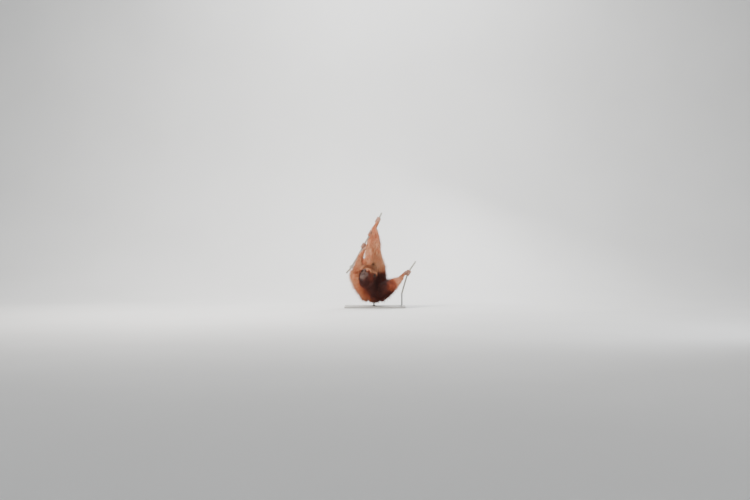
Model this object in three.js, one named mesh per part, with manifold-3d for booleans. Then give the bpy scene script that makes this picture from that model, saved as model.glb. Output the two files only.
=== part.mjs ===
// An orangutan, a grown female at life size, hanging under a slanting rope by both hands and her right foot,
// with her left foot on a second rope. The ropes are short cut lengths, and a flat base with two short rods
// carries the body and the side rope.
// Units are millimetres, +Z is up, +X is the animal's left as she is seen from the front, and -Y is the front.
// The origin is the middle of the base's underside.
import * as THREE from "three";
import { mergeVertices } from "three/addons/utils/BufferGeometryUtils.js";
import Module from "manifold-3d";

const wasm = await Module();
wasm.setup();

const { Vector3, Matrix4, MathUtils, CatmullRomCurve3 } = THREE;
const point = (x, y, z) => new Vector3(x, y, z);
const turn = (degrees) => MathUtils.degToRad(degrees);

// Driving dimensions of the skeleton, joint centre to joint centre
const UPPER_ARM = 312;
const FOREARM = 322;
const THIGH = 284;
const SHANK = 254;
const HAND_REACH = 108; // wrist to the middle of the grip, along the rope
const FOOT_REACH = 136; // ankle to the middle of the grip, along the rope

// Driving dimensions of the ropes
const ROPE_RADIUS = 12;
const ROPE_SLOPE = turn(60.3); // of the main rope between the knot and the upper hand
const ROPE_DEPTH = -90; // the plane that the main rope hangs in
const KNOT = point(-310, ROPE_DEPTH, 534);
const GRIPS = { footRight: 319, handRight: 507, handLeft: 705 }; // along the main rope from the knot
const SIDE_GRIP = point(440, 10, 453); // where the left foot holds the side rope

// Driving dimensions of the stand
const BASE = { wide: 800, deep: 440, thick: 18, corner: 40 };
const ROD_RADIUS = 12;

// The gap that touching pieces keep
const GAP = 0.4;
const DOWN = point(0, 0, -1);

// Turns a closed geometry into a solid, facing out, in the part's frame.
function solidOf(geometry, matrix) {
  const g = geometry.clone();
  for (const name of ["normal", "uv"]) g.deleteAttribute(name);
  if (matrix) g.applyMatrix4(matrix);
  const merged = mergeVertices(g, 1e-4);
  const triVerts = new Uint32Array(merged.index.array);
  const make = () =>
    new wasm.Manifold(
      new wasm.Mesh({ numProp: 3, vertProperties: merged.attributes.position.array, triVerts }),
    );
  const solid = make();
  if (solid.volume() > 0) return solid;
  for (let i = 0; i < triVerts.length; i += 3) {
    [triVerts[i + 1], triVerts[i + 2]] = [triVerts[i + 2], triVerts[i + 1]];
  }
  return make();
}

const join = (solids) => solids.reduce((all, one) => all.add(one));

// A sphere whose vertices are put where place(row, angle) says, closed at both poles.
function spindle(sides, rows, place, matrix) {
  const g = new THREE.SphereGeometry(1, sides, rows);
  const p = g.attributes.position;
  for (let i = 0; i < p.count; i++) {
    const row = Math.floor(i / (sides + 1));
    const side = (i % (sides + 1)) % sides;
    const v = place(row, (side / sides) * 2 * Math.PI);
    p.setXYZ(i, v.x, v.y, v.z);
  }
  return solidOf(g, matrix);
}

// A seeded random number from 0 to 1, the same on every run.
function seeded(seed) {
  let state = seed >>> 0;
  return () => {
    state = (state + 0x6d2b79f5) >>> 0;
    let t = Math.imul(state ^ (state >>> 15), 1 | state);
    t = (t + Math.imul(t ^ (t >>> 7), 61 | t)) ^ t;
    return ((t ^ (t >>> 14)) >>> 0) / 4294967296;
  };
}

// A tube with round ends through stations [point, half width, half depth]. The width lies along `across`, as far
// as the path allows. at(u, angle, extra) gives a point of its surface, and out(u, angle) the way it faces.
class Tube {
  constructor(stations, { sides = 10, rows = 6, caps = 2, across = point(1, 0, 0) } = {}) {
    Object.assign(this, { sides, rows, caps });
    this.curve = new CatmullRomCurve3(stations.map((s) => s[0]), false, "centripetal");
    const sizes = stations.map(([, wide, deep = wide]) => point(wide, deep, 0));
    this.sizes = new CatmullRomCurve3(sizes, false, "catmullrom", 0.5);
    this.frames = [];
    let wide = across.clone();
    for (let i = 0; i <= rows; i++) {
      const along = this.curve.getTangent(i / rows);
      wide = wide.clone().addScaledVector(along, -wide.dot(along)).normalize();
      this.frames.push({ along, wide, deep: along.clone().cross(wide) });
    }
  }

  size(u) {
    const v = this.sizes.getPoint(u);
    return [v.x, v.y];
  }

  out(u, angle) {
    const f = this.frames[Math.round(u * this.rows)];
    const [wide, deep] = this.size(u);
    return f.wide
      .clone()
      .multiplyScalar(Math.cos(angle) / wide)
      .addScaledVector(f.deep, Math.sin(angle) / deep)
      .normalize();
  }

  at(u, angle, extra = 0, shrink = 1, push = 0) {
    const f = this.frames[Math.round(u * this.rows)];
    const [wide, deep] = this.size(u);
    const end = (wide + deep) / 2 + extra;
    return this.curve
      .getPoint(u)
      .addScaledVector(f.wide, Math.cos(angle) * (wide + extra) * shrink)
      .addScaledVector(f.deep, Math.sin(angle) * (deep + extra) * shrink)
      .addScaledVector(f.along, push * end);
  }

  // Whether a place lies well inside
  holds(place) {
    const inside = (f, i) => {
      const [wide, deep] = this.size(i / this.rows);
      return this.curve.getPoint(i / this.rows).distanceTo(place) < 0.46 * (wide + deep);
    };
    return this.frames.some(inside);
  }

  solid(extra = 0) {
    const total = this.rows + 2 * this.caps;
    return spindle(this.sides, total, (row, angle) => {
      const near = Math.min(row / this.caps, 1) * (Math.PI / 2);
      const far = Math.min((total - row) / this.caps, 1) * (Math.PI / 2);
      const u = MathUtils.clamp((row - this.caps) / this.rows, 0, 1);
      const push = Math.cos(far) - Math.cos(near);
      return this.at(u, angle, extra, Math.sin(Math.min(near, far)), push);
    });
  }
}

// The middle joint of a limb of two bones, bent towards `hint`.
function bend(root, end, first, second, hint) {
  const line = end.clone().sub(root);
  const length = Math.min(line.length(), (first + second) * 0.999);
  line.normalize();
  const along = (first ** 2 + length ** 2 - second ** 2) / (2 * length);
  const aside = Math.sqrt(Math.max(first ** 2 - along ** 2, 0));
  const way = hint.clone().addScaledVector(line, -hint.dot(line)).normalize();
  return root.clone().addScaledVector(line, along).addScaledVector(way, aside);
}

// Places on the ropes
const ropeWay = point(Math.cos(ROPE_SLOPE), 0, Math.sin(ROPE_SLOPE));
const onRope = (distance) => KNOT.clone().addScaledVector(ropeWay, distance);
const sideUp = point(Math.cos(turn(57.5)), 0, Math.sin(turn(57.5)));
const sideDown = point(-Math.cos(turn(72.5)), 0, -Math.sin(turn(72.5)));

// What each hand and foot holds: the middle of the grip, the rope's way, the side that the palm lies on, and
// which way round the fingers close.
const grips = {
  handLeft: { at: onRope(GRIPS.handLeft), way: ropeWay, palm: point(0.25, -0.95, -0.1), wrap: -1 },
  handRight: { at: onRope(GRIPS.handRight), way: ropeWay, palm: point(0.8, -0.35, -0.46), wrap: -1 },
  footRight: { at: onRope(GRIPS.footRight), way: ropeWay, palm: point(0.75, -0.5, -0.43), wrap: -1 },
  footLeft: { at: SIDE_GRIP, way: sideUp, palm: point(-0.75, -0.35, 0.5), wrap: 1 },
};
for (const grip of Object.values(grips)) {
  grip.palm.addScaledVector(grip.way, -grip.palm.dot(grip.way)).normalize();
}
const WRIST_CLEAR = 42; // wrist or ankle centre to the rope's middle
const behindGrip = (grip, reach) =>
  grip.at.clone().addScaledVector(grip.way, -reach).addScaledVector(grip.palm, WRIST_CLEAR);

// Joint centres
const shoulderLeft = point(60, -46, 552);
const shoulderRight = point(-142, -24, 566);
const hipLeft = point(56, 4, 212);
const hipRight = point(-96, 34, 212);
const wristLeft = behindGrip(grips.handLeft, HAND_REACH);
const wristRight = behindGrip(grips.handRight, HAND_REACH * 0.78);
const ankleRight = behindGrip(grips.footRight, FOOT_REACH);
const ankleLeft = SIDE_GRIP.clone().add(point(-108, -34, -76));
const elbowLeft = bend(shoulderLeft, wristLeft, UPPER_ARM, FOREARM, point(-0.04, -1, -0.1));
const elbowRight = bend(shoulderRight, wristRight, UPPER_ARM, FOREARM, point(0.17, -1, 0.1));
const kneeRight = bend(hipRight, ankleRight, THIGH, SHANK, point(-1, -0.25, 0.2));
const kneeLeft = bend(hipLeft, ankleLeft, THIGH, SHANK, point(0.1, -1, 0.1));

// Head frame: x forward, y to the animal's left, z up, origin between the ears
const HEAD = { at: point(-90, -172, 436), yaw: 33, pitch: 14, size: 1.12 };
const headWay = point(
  -Math.sin(turn(HEAD.yaw)) * Math.cos(turn(HEAD.pitch)),
  -Math.cos(turn(HEAD.yaw)) * Math.cos(turn(HEAD.pitch)),
  Math.sin(turn(HEAD.pitch)),
);
const headLeft = point(Math.cos(turn(HEAD.yaw)), -Math.sin(turn(HEAD.yaw)), 0);
const headUp = headWay.clone().cross(headLeft);
const headFrame = new Matrix4()
  .makeBasis(headWay, headLeft, headUp)
  .scale(point(HEAD.size, HEAD.size, HEAD.size))
  .setPosition(HEAD.at);

// The trunk, from the rump to the base of the neck, as [middle, half width, half depth]
const trunk = new Tube(
  [
    [point(-14, 36, 196), 98, 90],
    [point(-16, 28, 250), 126, 110],
    [point(-18, 16, 335), 138, 122],
    [point(-24, 6, 425), 138, 112],
    [point(-32, -8, 505), 128, 98],
    [point(-38, -22, 566), 88, 74],
  ],
  { sides: 13, rows: 8, caps: 2 },
);

const neck = new Tube(
  [
    [point(-40, -40, 530), 72],
    [point(-50, -92, 494), 68],
    [point(-66, -134, 458), 64],
  ],
  { rows: 3 },
);

// The shoulders and the hips, each a bar of flesh across the trunk that its limbs grow from
const girdle = new Tube(
  [
    [shoulderRight, 58],
    [point(-40, -16, 562), 74],
    [shoulderLeft, 58],
  ],
  { sides: 8, rows: 4 },
);
const hips = new Tube(
  [
    [hipRight, 78],
    [point(-18, 26, 208), 90],
    [hipLeft, 78],
  ],
  { sides: 8, rows: 3, across: point(0, 1, 0) },
);

const trunkTubes = [trunk, girdle, hips];

// A limb's length of flesh, as a tube between two joints with its muscle swelling near the root
function bone(from, to, rootSize, bellySize, endSize) {
  const at = (share) => from.clone().lerp(to, share);
  return new Tube(
    [
      [at(0), rootSize],
      [at(0.35), bellySize],
      [at(0.7), (bellySize + endSize) / 2],
      [at(1), endSize],
    ],
    { sides: 8, rows: 5 },
  );
}

const limbs = {
  upper_arm_left: bone(shoulderLeft, elbowLeft, 54, 47, 38),
  upper_arm_right: bone(shoulderRight, elbowRight, 54, 47, 38),
  forearm_left: bone(elbowLeft, wristLeft, 38, 43, 28),
  forearm_right: bone(elbowRight, wristRight, 38, 43, 28),
  thigh_left: bone(hipLeft, kneeLeft, 80, 72, 52),
  thigh_right: bone(hipRight, kneeRight, 80, 72, 52),
  shank_left: bone(kneeLeft, ankleLeft, 50, 48, 30),
  shank_right: bone(kneeRight, ankleRight, 50, 46, 29),
};

// Fingers or toes from the wrist or ankle over the knuckle and round the rope
function grasp(grip, wrist, foot) {
  const across = grip.way.clone().cross(grip.palm).multiplyScalar(grip.wrap);
  const radius = foot ? [15, 13, 10.5, 8] : [14, 12.5, 10.5, 8];
  const spread = foot ? 19 : 20.5;
  const ring = (slide, degrees, clear) =>
    grip.at
      .clone()
      .addScaledVector(grip.way, slide)
      .addScaledVector(grip.palm, Math.cos(turn(degrees)) * (ROPE_RADIUS + clear))
      .addScaledVector(across, Math.sin(turn(degrees)) * (ROPE_RADIUS + clear));
  const digit = (k, reach, start) => {
    const slide = (1.5 - k) * spread;
    const base = ring(slide - 6, start, radius[2] + 3);
    const stations = [
      [wrist.clone().lerp(base, 0.12), radius[0]],
      [wrist.clone().lerp(base, 0.6), radius[1]],
      [base, radius[2] + 0.6],
    ];
    const bends = 4;
    for (let i = 1; i <= bends; i++) {
      const share = i / bends;
      const size = MathUtils.lerp(radius[2], radius[3], share);
      stations.push([ring(slide + 2 * share, start + reach * share, size + 1.2), size]);
    }
    return new Tube(stations, { sides: 5, rows: 8, caps: 1 });
  };
  const digits = [0, 1, 2, 3].map((k) => digit(k, [215, 235, 228, 200][k], -24));
  const opposite = (degrees) => ring(-1.9 * spread, degrees, foot ? 11 : 10);
  const thumb = new Tube(
    [
      [wrist.clone().lerp(opposite(0), 0.35), 13],
      [opposite(-25), 11],
      [opposite(-75), 9.5],
      [opposite(-120), 7.5],
    ],
    { sides: 5, rows: 4, caps: 1 },
  );
  const pad = new Tube(
    [
      [wrist.clone(), foot ? 28 : 25],
      [wrist.clone().lerp(ring(0, 0, 22), 0.5), foot ? 24 : 23],
      [ring(-6, -8, 25), 17],
    ],
    { sides: 7, rows: 3, caps: 1 },
  );
  const pieces = [...digits, thumb, pad];
  if (foot) {
    const heel = wrist.clone().addScaledVector(grip.palm, 4).addScaledVector(grip.way, -26);
    pieces.push(new Tube([[heel, 24], [wrist.clone(), 26]], { sides: 6, rows: 2, caps: 1 }));
  }
  return pieces;
}

const hands = {
  hand_left: grasp(grips.handLeft, wristLeft, false),
  hand_right: grasp(grips.handRight, wristRight, false),
  foot_right: grasp(grips.footRight, ankleRight, true),
  foot_left: grasp(grips.footLeft, ankleLeft, true),
};

// The skull's forms as ellipsoids in the head frame, [centre, radii], blended into one smooth head
const SKULL = [
  [point(-10, 0, 26), point(88, 71, 70)],
  [point(34, 0, -12), point(52, 63, 60)],
  [point(66, 0, -50), point(52, 47, 40)],
  [point(50, 0, -84), point(42, 38, 24)],
  [point(4, 0, -46), point(58, 58, 50)],
];
const BLEND = 20; // how far the forms melt into each other

function depthIn(v) {
  let total = 0;
  for (const [centre, radii] of SKULL) {
    const q = v.clone().sub(centre).divide(radii);
    const distance = (q.length() - 1) * Math.min(radii.x, radii.y, radii.z);
    total += Math.exp(-distance / (BLEND / 3));
  }
  return -Math.log(total) * (BLEND / 3);
}

// The distance from the middle of the head to its skin along a direction
function skinAlong(way, from) {
  let near = 0;
  let far = 260;
  for (let i = 0; i < 26; i++) {
    const middle = (near + far) / 2;
    if (depthIn(from.clone().addScaledVector(way, middle)) < 0) near = middle;
    else far = middle;
  }
  return near;
}

const HEAD_CORE = point(22, 0, -14);
const HEAD_SIDES = 22;
const HEAD_ROWS = 18;

function skullSolid(extra) {
  return spindle(
    HEAD_SIDES,
    HEAD_ROWS,
    (row, angle) => {
      const share = row / HEAD_ROWS;
      const polar = Math.PI * (share - 0.09 * Math.sin(2 * Math.PI * share));
      const way = point(
        Math.cos(polar),
        Math.sin(polar) * Math.cos(angle),
        Math.sin(polar) * Math.sin(angle),
      );
      return HEAD_CORE.clone().addScaledVector(way, skinAlong(way, HEAD_CORE) + extra);
    },
    headFrame,
  );
}

// A point of the head's skin, from a direction given as degrees left of the nose and degrees up
function onFace(left, up, from = HEAD_CORE) {
  const way = point(
    Math.cos(turn(up)) * Math.cos(turn(left)),
    Math.cos(turn(up)) * Math.sin(turn(left)),
    Math.sin(turn(up)),
  );
  return from.clone().addScaledVector(way, skinAlong(way, from));
}

const inHead = (v) => v.clone().applyMatrix4(headFrame);
const EYE_RADIUS = 11;
const EYE = { forward: 72, side: 29, up: 21 };
const eyeCentre = (side) => point(EYE.forward, side * EYE.side, EYE.up);

function ball(centre, radii, sides, rows) {
  const g = new THREE.SphereGeometry(1, sides, rows);
  g.scale(radii.x, radii.y, radii.z);
  g.translate(centre.x, centre.y, centre.z);
  return solidOf(g, headFrame);
}

// A thin tube in the head frame through points of the face
function cord(points, sizes, options) {
  const scaled = (size) => [size].flat().map((one) => one * HEAD.size);
  const stations = points.map((v, i) => [inHead(v), ...scaled(sizes[i])]);
  return new Tube(stations, { sides: 6, rows: 8, caps: 1, ...options });
}

const MOUTH_FROM = point(40, 0, -56);
const mouthPoint = (left, up) => onFace(left, up, MOUTH_FROM);
const mouthTurns = [-66, -48, -30, -14, 0, 14, 30, 48, 66];

function faceSolids(extra = 0) {
  const eyes = [-1, 1].map(eyeCentre);
  const brow = [-62, -40, -20, 0, 20, 40, 62].map((left, i) => {
    const v = onFace(left, 31 - Math.abs(left) * 0.07, point(10, 0, 0));
    return v.add(point(i === 3 ? -6 : -3, 0, 0));
  });
  const lids = eyes.flatMap((eye, k) =>
    [1, -1].map((up) => {
      const outer = k ? 1 : -1;
      return cord(
        [-1, -0.5, 0, 0.5, 1].map((x) =>
          eye
            .clone()
            .add(
              point(
                5.5 - Math.abs(x) * 5 + (1 - Math.abs(x)) * 2,
                outer * x * 14,
                up * (9.4 - 8 * x * x) + x,
              ),
            ),
        ),
        [2.2, 3.6, 4.2, 3.6, 2.2],
        { sides: 4, rows: 4 },
      ).solid(extra);
    }),
  );
  const lips = [6.5, -6.5].map((rise, k) =>
    cord(
      mouthTurns.map((left) => {
        const v = mouthPoint(left, -6 + rise * (1 - Math.abs(left) / 90) - Math.abs(left) * 0.05);
        return v.add(point(-2.5, 0, 0));
      }),
      mouthTurns.map((left) => (k ? 6.5 : 7.5) - Math.abs(left) * 0.05),
      { sides: 5 },
    ).solid(extra),
  );
  const browSolid = cord(brow, [5, 9, 11, 9, 11, 9, 5], { sides: 5 }).solid(extra);
  const nose = cord(
    [point(74, 0, 18), point(84, 0, 0), point(98, 0, -18), point(103, 0, -23)],
    [[9, 8], [10, 8], [15, 8], [13, 7]],
    { rows: 4, across: headLeft },
  ).solid(extra);
  return [browSolid, nose, ...lids, ...lips];
}

function headCuts() {
  const sockets = [-1, 1].map((side) => {
    const r = EYE_RADIUS + GAP;
    return ball(eyeCentre(side), point(r, r, r), 8, 6);
  });
  const nostrils = [-1, 1].map((side) =>
    ball(point(109, side * 7, -25), point(7, 4.2, 4.6), 5, 4),
  );
  const mouthLine = cord(
    mouthTurns.map((left) => mouthPoint(left, -6.2 - Math.abs(left) * 0.05).add(point(4, 0, 0))),
    mouthTurns.map(() => [2.2, 5]),
    { sides: 4, across: headUp },
  ).solid();
  return join([...sockets, ...nostrils, mouthLine]);
}

// An ear: a flat cup with a rolled rim, on the side of the head
const EAR = { forward: -18, side: 70, up: -2, high: 24, wide: 16 };

function earSolid(side) {
  const centre = point(EAR.forward, side * EAR.side, EAR.up);
  const rim = (angle, size, lift) =>
    centre
      .clone()
      .add(
        point(
          Math.cos(angle) * EAR.wide * size - 3,
          side * (lift + 5 * size * (1 - Math.cos(angle))),
          Math.sin(angle) * EAR.high * size,
        ),
      );
  const shell = spindle(
    10,
    5,
    (row, angle) => {
      const size = [0, 0.95, 1.05, 0.96, 0.55, 0][row];
      const lift = [-6, -6, 3, 8, 1, 0][row];
      return rim(angle, size, lift);
    },
    headFrame,
  );
  const tragus = ball(rim(0, 0.86, 3), point(4, 4, 6), 6, 4);
  return shell.add(tragus);
}

// One lock of hair: a flat, tapered blade that leaves its root along `way` and bends down as it grows.
const LOCK_ROWS = 4;
const LOCK_FULL = [0, 0.95, 1, 0.66, 0]; // its width from root to tip
const LOCK_SECTION = [[-1, -0.1], [1, -0.1], [0, 0.3]]; // across and outwards, of half its width
const LOCK_GROW = [5.5, 1.4]; // how far its sharp edges and its faces move for each mm that it grows
const LOCK_SUNK = 10; // how deep the root lies in the flesh

function lock({ root, face, way, long, wide }, lift, extra = 0) {
  const hang = offSkin(DOWN, face, lift * 0.4);
  const heading = offSkin(way, face, lift);
  const path = [root.clone().addScaledVector(face, -LOCK_SUNK)];
  const steps = LOCK_ROWS - 1;
  let at = root.clone();
  for (let i = 0; i < steps; i++) {
    path.push(at);
    heading.lerp(hang, 0.3).normalize();
    at = at.clone().addScaledVector(heading, long / steps);
  }
  path.push(at.clone().addScaledVector(heading, extra * LOCK_GROW[0]));
  let flat = face.clone();
  const frames = path.map((p, i) => {
    const along = path[Math.min(i + 1, LOCK_ROWS)].clone().sub(path[Math.max(i - 1, 0)]).normalize();
    flat = flat.clone().addScaledVector(along, -flat.dot(along)).normalize();
    return { flat, across: along.clone().cross(flat) };
  });
  const corners = LOCK_SECTION.length;
  return spindle(corners, LOCK_ROWS, (row, angle) => {
    const [side, rise] = LOCK_SECTION[Math.round((angle / (2 * Math.PI)) * corners)];
    const half = LOCK_FULL[row] * wide * 0.5;
    const [edgeGrow, faceGrow] = LOCK_GROW.map((share) => (half ? share * extra : 0));
    return path[row]
      .clone()
      .addScaledVector(frames[row].across, side * (half + edgeGrow))
      .addScaledVector(frames[row].flat, rise * half + Math.sign(rise) * faceGrow);
  });
}

// Turns a direction off the skin, so that it leans out by at least `lift`.
function offSkin(way, out, lift) {
  const short = Math.max(lift - way.dot(out), 0);
  return way.clone().addScaledVector(out, short).normalize();
}

// Locks set over a tube in staggered rings. They lie along the tube, backwards where `flow` is negative, lean
// to her back by `lean` and hang as far as `weight` says. `bare` tells where the skin has none.
function coat(tube, { rings, around, seed, flow, lean = 0, weight = 1, long, wide, bare = () => false }) {
  const others = [...trunkTubes, neck, ...Object.values(limbs)].filter((one) => one !== tube);
  const random = seeded(seed);
  const locks = [];
  for (let i = 0; i < rings; i++) {
    for (let j = 0; j < around; j++) {
      const u = MathUtils.clamp((i + 0.5 + (random() - 0.5) * 0.5) / rings, 0, 1);
      const angle = ((j + (i % 2) * 0.5 + (random() - 0.5) * 0.4) / around) * 2 * Math.PI;
      const vary = 0.85 + 0.3 * random();
      const face = tube.out(u, angle);
      const root = tube.at(u, angle);
      if (bare(face, root) || others.some((one) => one.holds(root))) continue;
      const along = tube.frames[Math.round(u * tube.rows)].along;
      const way = point(0, lean, 0).addScaledVector(along, flow).addScaledVector(DOWN, weight).normalize();
      locks.push({ root, face, way, long: long * vary, wide: wide * (1.1 - 0.2 * random()) });
    }
  }
  return locks;
}

// The head's locks spread from the crown over its top, back and cheeks, and leave the face and ears bare.
function headLocks() {
  const random = seeded(41);
  const locks = [];
  const rings = 5;
  for (let k = 0; k < rings; k++) {
    const fromCrown = turn(16 + 30 * k);
    const count = Math.round(2 + 6 * Math.sin(fromCrown));
    for (let j = 0; j < count; j++) {
      const round = ((j + 0.5 * (k % 2) + 0.3 * (random() - 0.5)) / count) * 2 * Math.PI;
      const way = point(
        Math.sin(fromCrown) * Math.cos(round),
        Math.sin(fromCrown) * Math.sin(round),
        Math.cos(fromCrown),
      );
      const root = HEAD_CORE.clone().addScaledVector(way, skinAlong(way, HEAD_CORE));
      const byEar = Math.hypot(root.x - EAR.forward, root.z - EAR.up) < 30;
      const inFace = way.x > 0.42 && way.z < 0.6 && way.z > -0.86;
      if (byEar || inFace) continue;
      const face = way.clone().transformDirection(headFrame);
      const fall = point(0.2 - way.x * 0.5, 0, -1).transformDirection(headFrame);
      const long = (38 + 7 * k) * (0.85 + 0.3 * random());
      locks.push({ root: inHead(root), face, way: fall.addScaledVector(face, 0.5), long, wide: 46 });
    }
  }
  return locks;
}

// Every node: its plain solid, the same solid a gap larger for cutting what meets it, its locks and its finish
const skin = { color: 0x4a2c22, roughness: 0.85, metalness: 0 };
const coatFinish = { color: 0xa04a22, roughness: 0.9, metalness: 0 };
const nodes = new Map();

function node(name, plain, fat, finish, locks = []) {
  nodes.set(name, { plain, fat, finish, locks });
}

const tubeNode = (name, tube, finish, locks) =>
  node(name, tube.solid(), tube.solid(GAP), finish, locks);

// The part of a solid past the plane through a joint, half a gap clear of it
const past = (solid, joint, way, gap = GAP / 2) => solid.trimByPlane(way.toArray(), way.dot(joint) + gap);

// The plane through a joint that halves the bend between the lengths before and after it
function jointWay(before, joint, after) {
  const inward = joint.clone().sub(before).normalize();
  return inward.add(after.clone().sub(joint).normalize()).normalize();
}

// The stand
function baseSolid() {
  const { wide, deep, thick, corner } = BASE;
  const outline = new THREE.Shape();
  const x = wide / 2 - corner;
  const y = deep / 2 - corner;
  outline.absarc(x, y, corner, 0, Math.PI / 2);
  outline.absarc(-x, y, corner, Math.PI / 2, Math.PI);
  outline.absarc(-x, -y, corner, Math.PI, 1.5 * Math.PI);
  outline.absarc(x, -y, corner, 1.5 * Math.PI, 2 * Math.PI);
  const options = { depth: thick, bevelEnabled: false, curveSegments: 6 };
  return solidOf(new THREE.ExtrudeGeometry(outline, options));
}

function rodSolid(at, top, extra) {
  const foot = BASE.thick + GAP - extra;
  const profile = [
    [0, foot],
    [ROD_RADIUS + 16 + extra, foot],
    [ROD_RADIUS + 16 + extra, foot + 5 + extra],
    [ROD_RADIUS + extra, foot + 9 + extra],
    [ROD_RADIUS + extra, top + extra],
    [0, top + extra],
  ].map(([x, y]) => new THREE.Vector2(x, y));
  const g = new THREE.LatheGeometry(profile, 14);
  g.rotateX(Math.PI / 2);
  g.translate(at.x, at.y, 0);
  return solidOf(g);
}

const bodyRodAt = point(-14, 36, 0);
const BODY_ROD_TOP = 132;
const sideLow = SIDE_GRIP.clone().addScaledVector(sideDown, 284);
const steel = { color: 0x2b2b2d, roughness: 0.45, metalness: 0.8 };
const base = baseSolid();
node("stand_base", base, base, steel);
const rods = [
  ["stand_rod_body", bodyRodAt, BODY_ROD_TOP],
  ["stand_rod_rope", sideLow, sideLow.z],
];
for (const [name, at, top] of rods) {
  node(name, rodSolid(at, top, 0), rodSolid(at, top, GAP), steel);
}

// The ropes, each a tube, and the knot on the main one
const ropeFinish = { color: 0xb8b4a4, roughness: 0.9, metalness: 0 };
const lowWay = point(-Math.cos(turn(50.5)), 0, -Math.sin(turn(50.5)));
const topWay = point(Math.cos(turn(63.5)), 0, Math.sin(turn(63.5)));
const mainRope = [
  KNOT.clone().addScaledVector(lowWay, 100),
  KNOT.clone(),
  onRope(GRIPS.footRight),
  onRope(GRIPS.handLeft),
  onRope(GRIPS.handLeft).addScaledVector(topWay, 104),
].map((v) => [v, ROPE_RADIUS]);
const sideRope = [
  SIDE_GRIP.clone().addScaledVector(sideUp, 178),
  SIDE_GRIP.clone(),
  SIDE_GRIP.clone().addScaledVector(sideDown, 120),
  sideLow.clone().addScaledVector(sideDown, 16),
].map((v) => [v, ROPE_RADIUS]);
const ropeTube = new Tube(mainRope, { sides: 8, rows: 14, caps: 1 });
const sideTube = new Tube(sideRope, { sides: 8, rows: 8, caps: 1 });
const knotSolid = (extra) =>
  new Tube(
    [
      [KNOT.clone().addScaledVector(ropeWay, -20), 21],
      [KNOT.clone().addScaledVector(ropeWay, 0), 25],
      [KNOT.clone().addScaledVector(ropeWay, 22), 20],
    ],
    { sides: 8, rows: 3, caps: 1 },
  ).solid(extra);
const knottedRope = (extra) => ropeTube.solid(extra).add(knotSolid(extra));
node("perch_rope_main", knottedRope(0), knottedRope(GAP), ropeFinish);
const overRod = [0, 0, 1];
node(
  "perch_rope_side",
  sideTube.solid().trimByPlane(overRod, sideLow.z + GAP),
  sideTube.solid(GAP),
  ropeFinish,
);

// The head, with its eyes and ears
const eyeFinish = { color: 0x1c0f08, roughness: 0.1, metalness: 0 };
for (const [name, side] of [["eye_left", 1], ["eye_right", -1]]) {
  const sized = (r) => ball(eyeCentre(side), point(r, r, r), 8, 6);
  node(name, sized(EYE_RADIUS), sized(EYE_RADIUS + GAP), eyeFinish);
}
const skull = join([skullSolid(0), ...faceSolids()]).subtract(headCuts());
const headFat = join([skullSolid(GAP * 1.5), ...faceSolids(GAP)]);
node("head", skull, headFat, skin, headLocks());
for (const [name, side] of [["ear_left", 1], ["ear_right", -1]]) {
  const ear = earSolid(side);
  node(name, ear, ear, skin);
}

// The coat of each part, in rings of locks
const coats = {
  torso: {
    rings: 6,
    around: 9,
    seed: 3,
    flow: -1,
    lean: 0.3,
    long: 128,
    wide: 84,
    bare: (face, root) => face.y < -0.5 || (face.y < -0.1 && root.z > 470),
  },
  shoulders: {
    rings: 5,
    around: 6,
    seed: 29,
    flow: 0,
    lean: 0.6,
    long: 118,
    wide: 74,
    bare: (face) => face.y < -0.2 || face.z < -0.3,
  },
  upper_arm_left: { rings: 3, around: 4, seed: 5, flow: -0.2, long: 88, wide: 54 },
  upper_arm_right: {
    rings: 3,
    around: 4,
    seed: 7,
    flow: 0.3,
    long: 72,
    wide: 50,
    bare: (face) => face.z < -0.2,
  },
  forearm_left: { rings: 4, around: 4, seed: 9, flow: -1, weight: 0.3, long: 84, wide: 46 },
  forearm_right: { rings: 4, around: 4, seed: 11, flow: -1, weight: 0.3, long: 84, wide: 46 },
  thigh_left: { rings: 3, around: 6, seed: 13, flow: 0.5, long: 92, wide: 68 },
  thigh_right: { rings: 3, around: 6, seed: 15, flow: -0.2, long: 100, wide: 68 },
  shank_left: { rings: 3, around: 4, seed: 17, flow: 0.3, long: 86, wide: 52 },
  shank_right: { rings: 3, around: 4, seed: 19, flow: -0.3, long: 86, wide: 52 },
};

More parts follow.
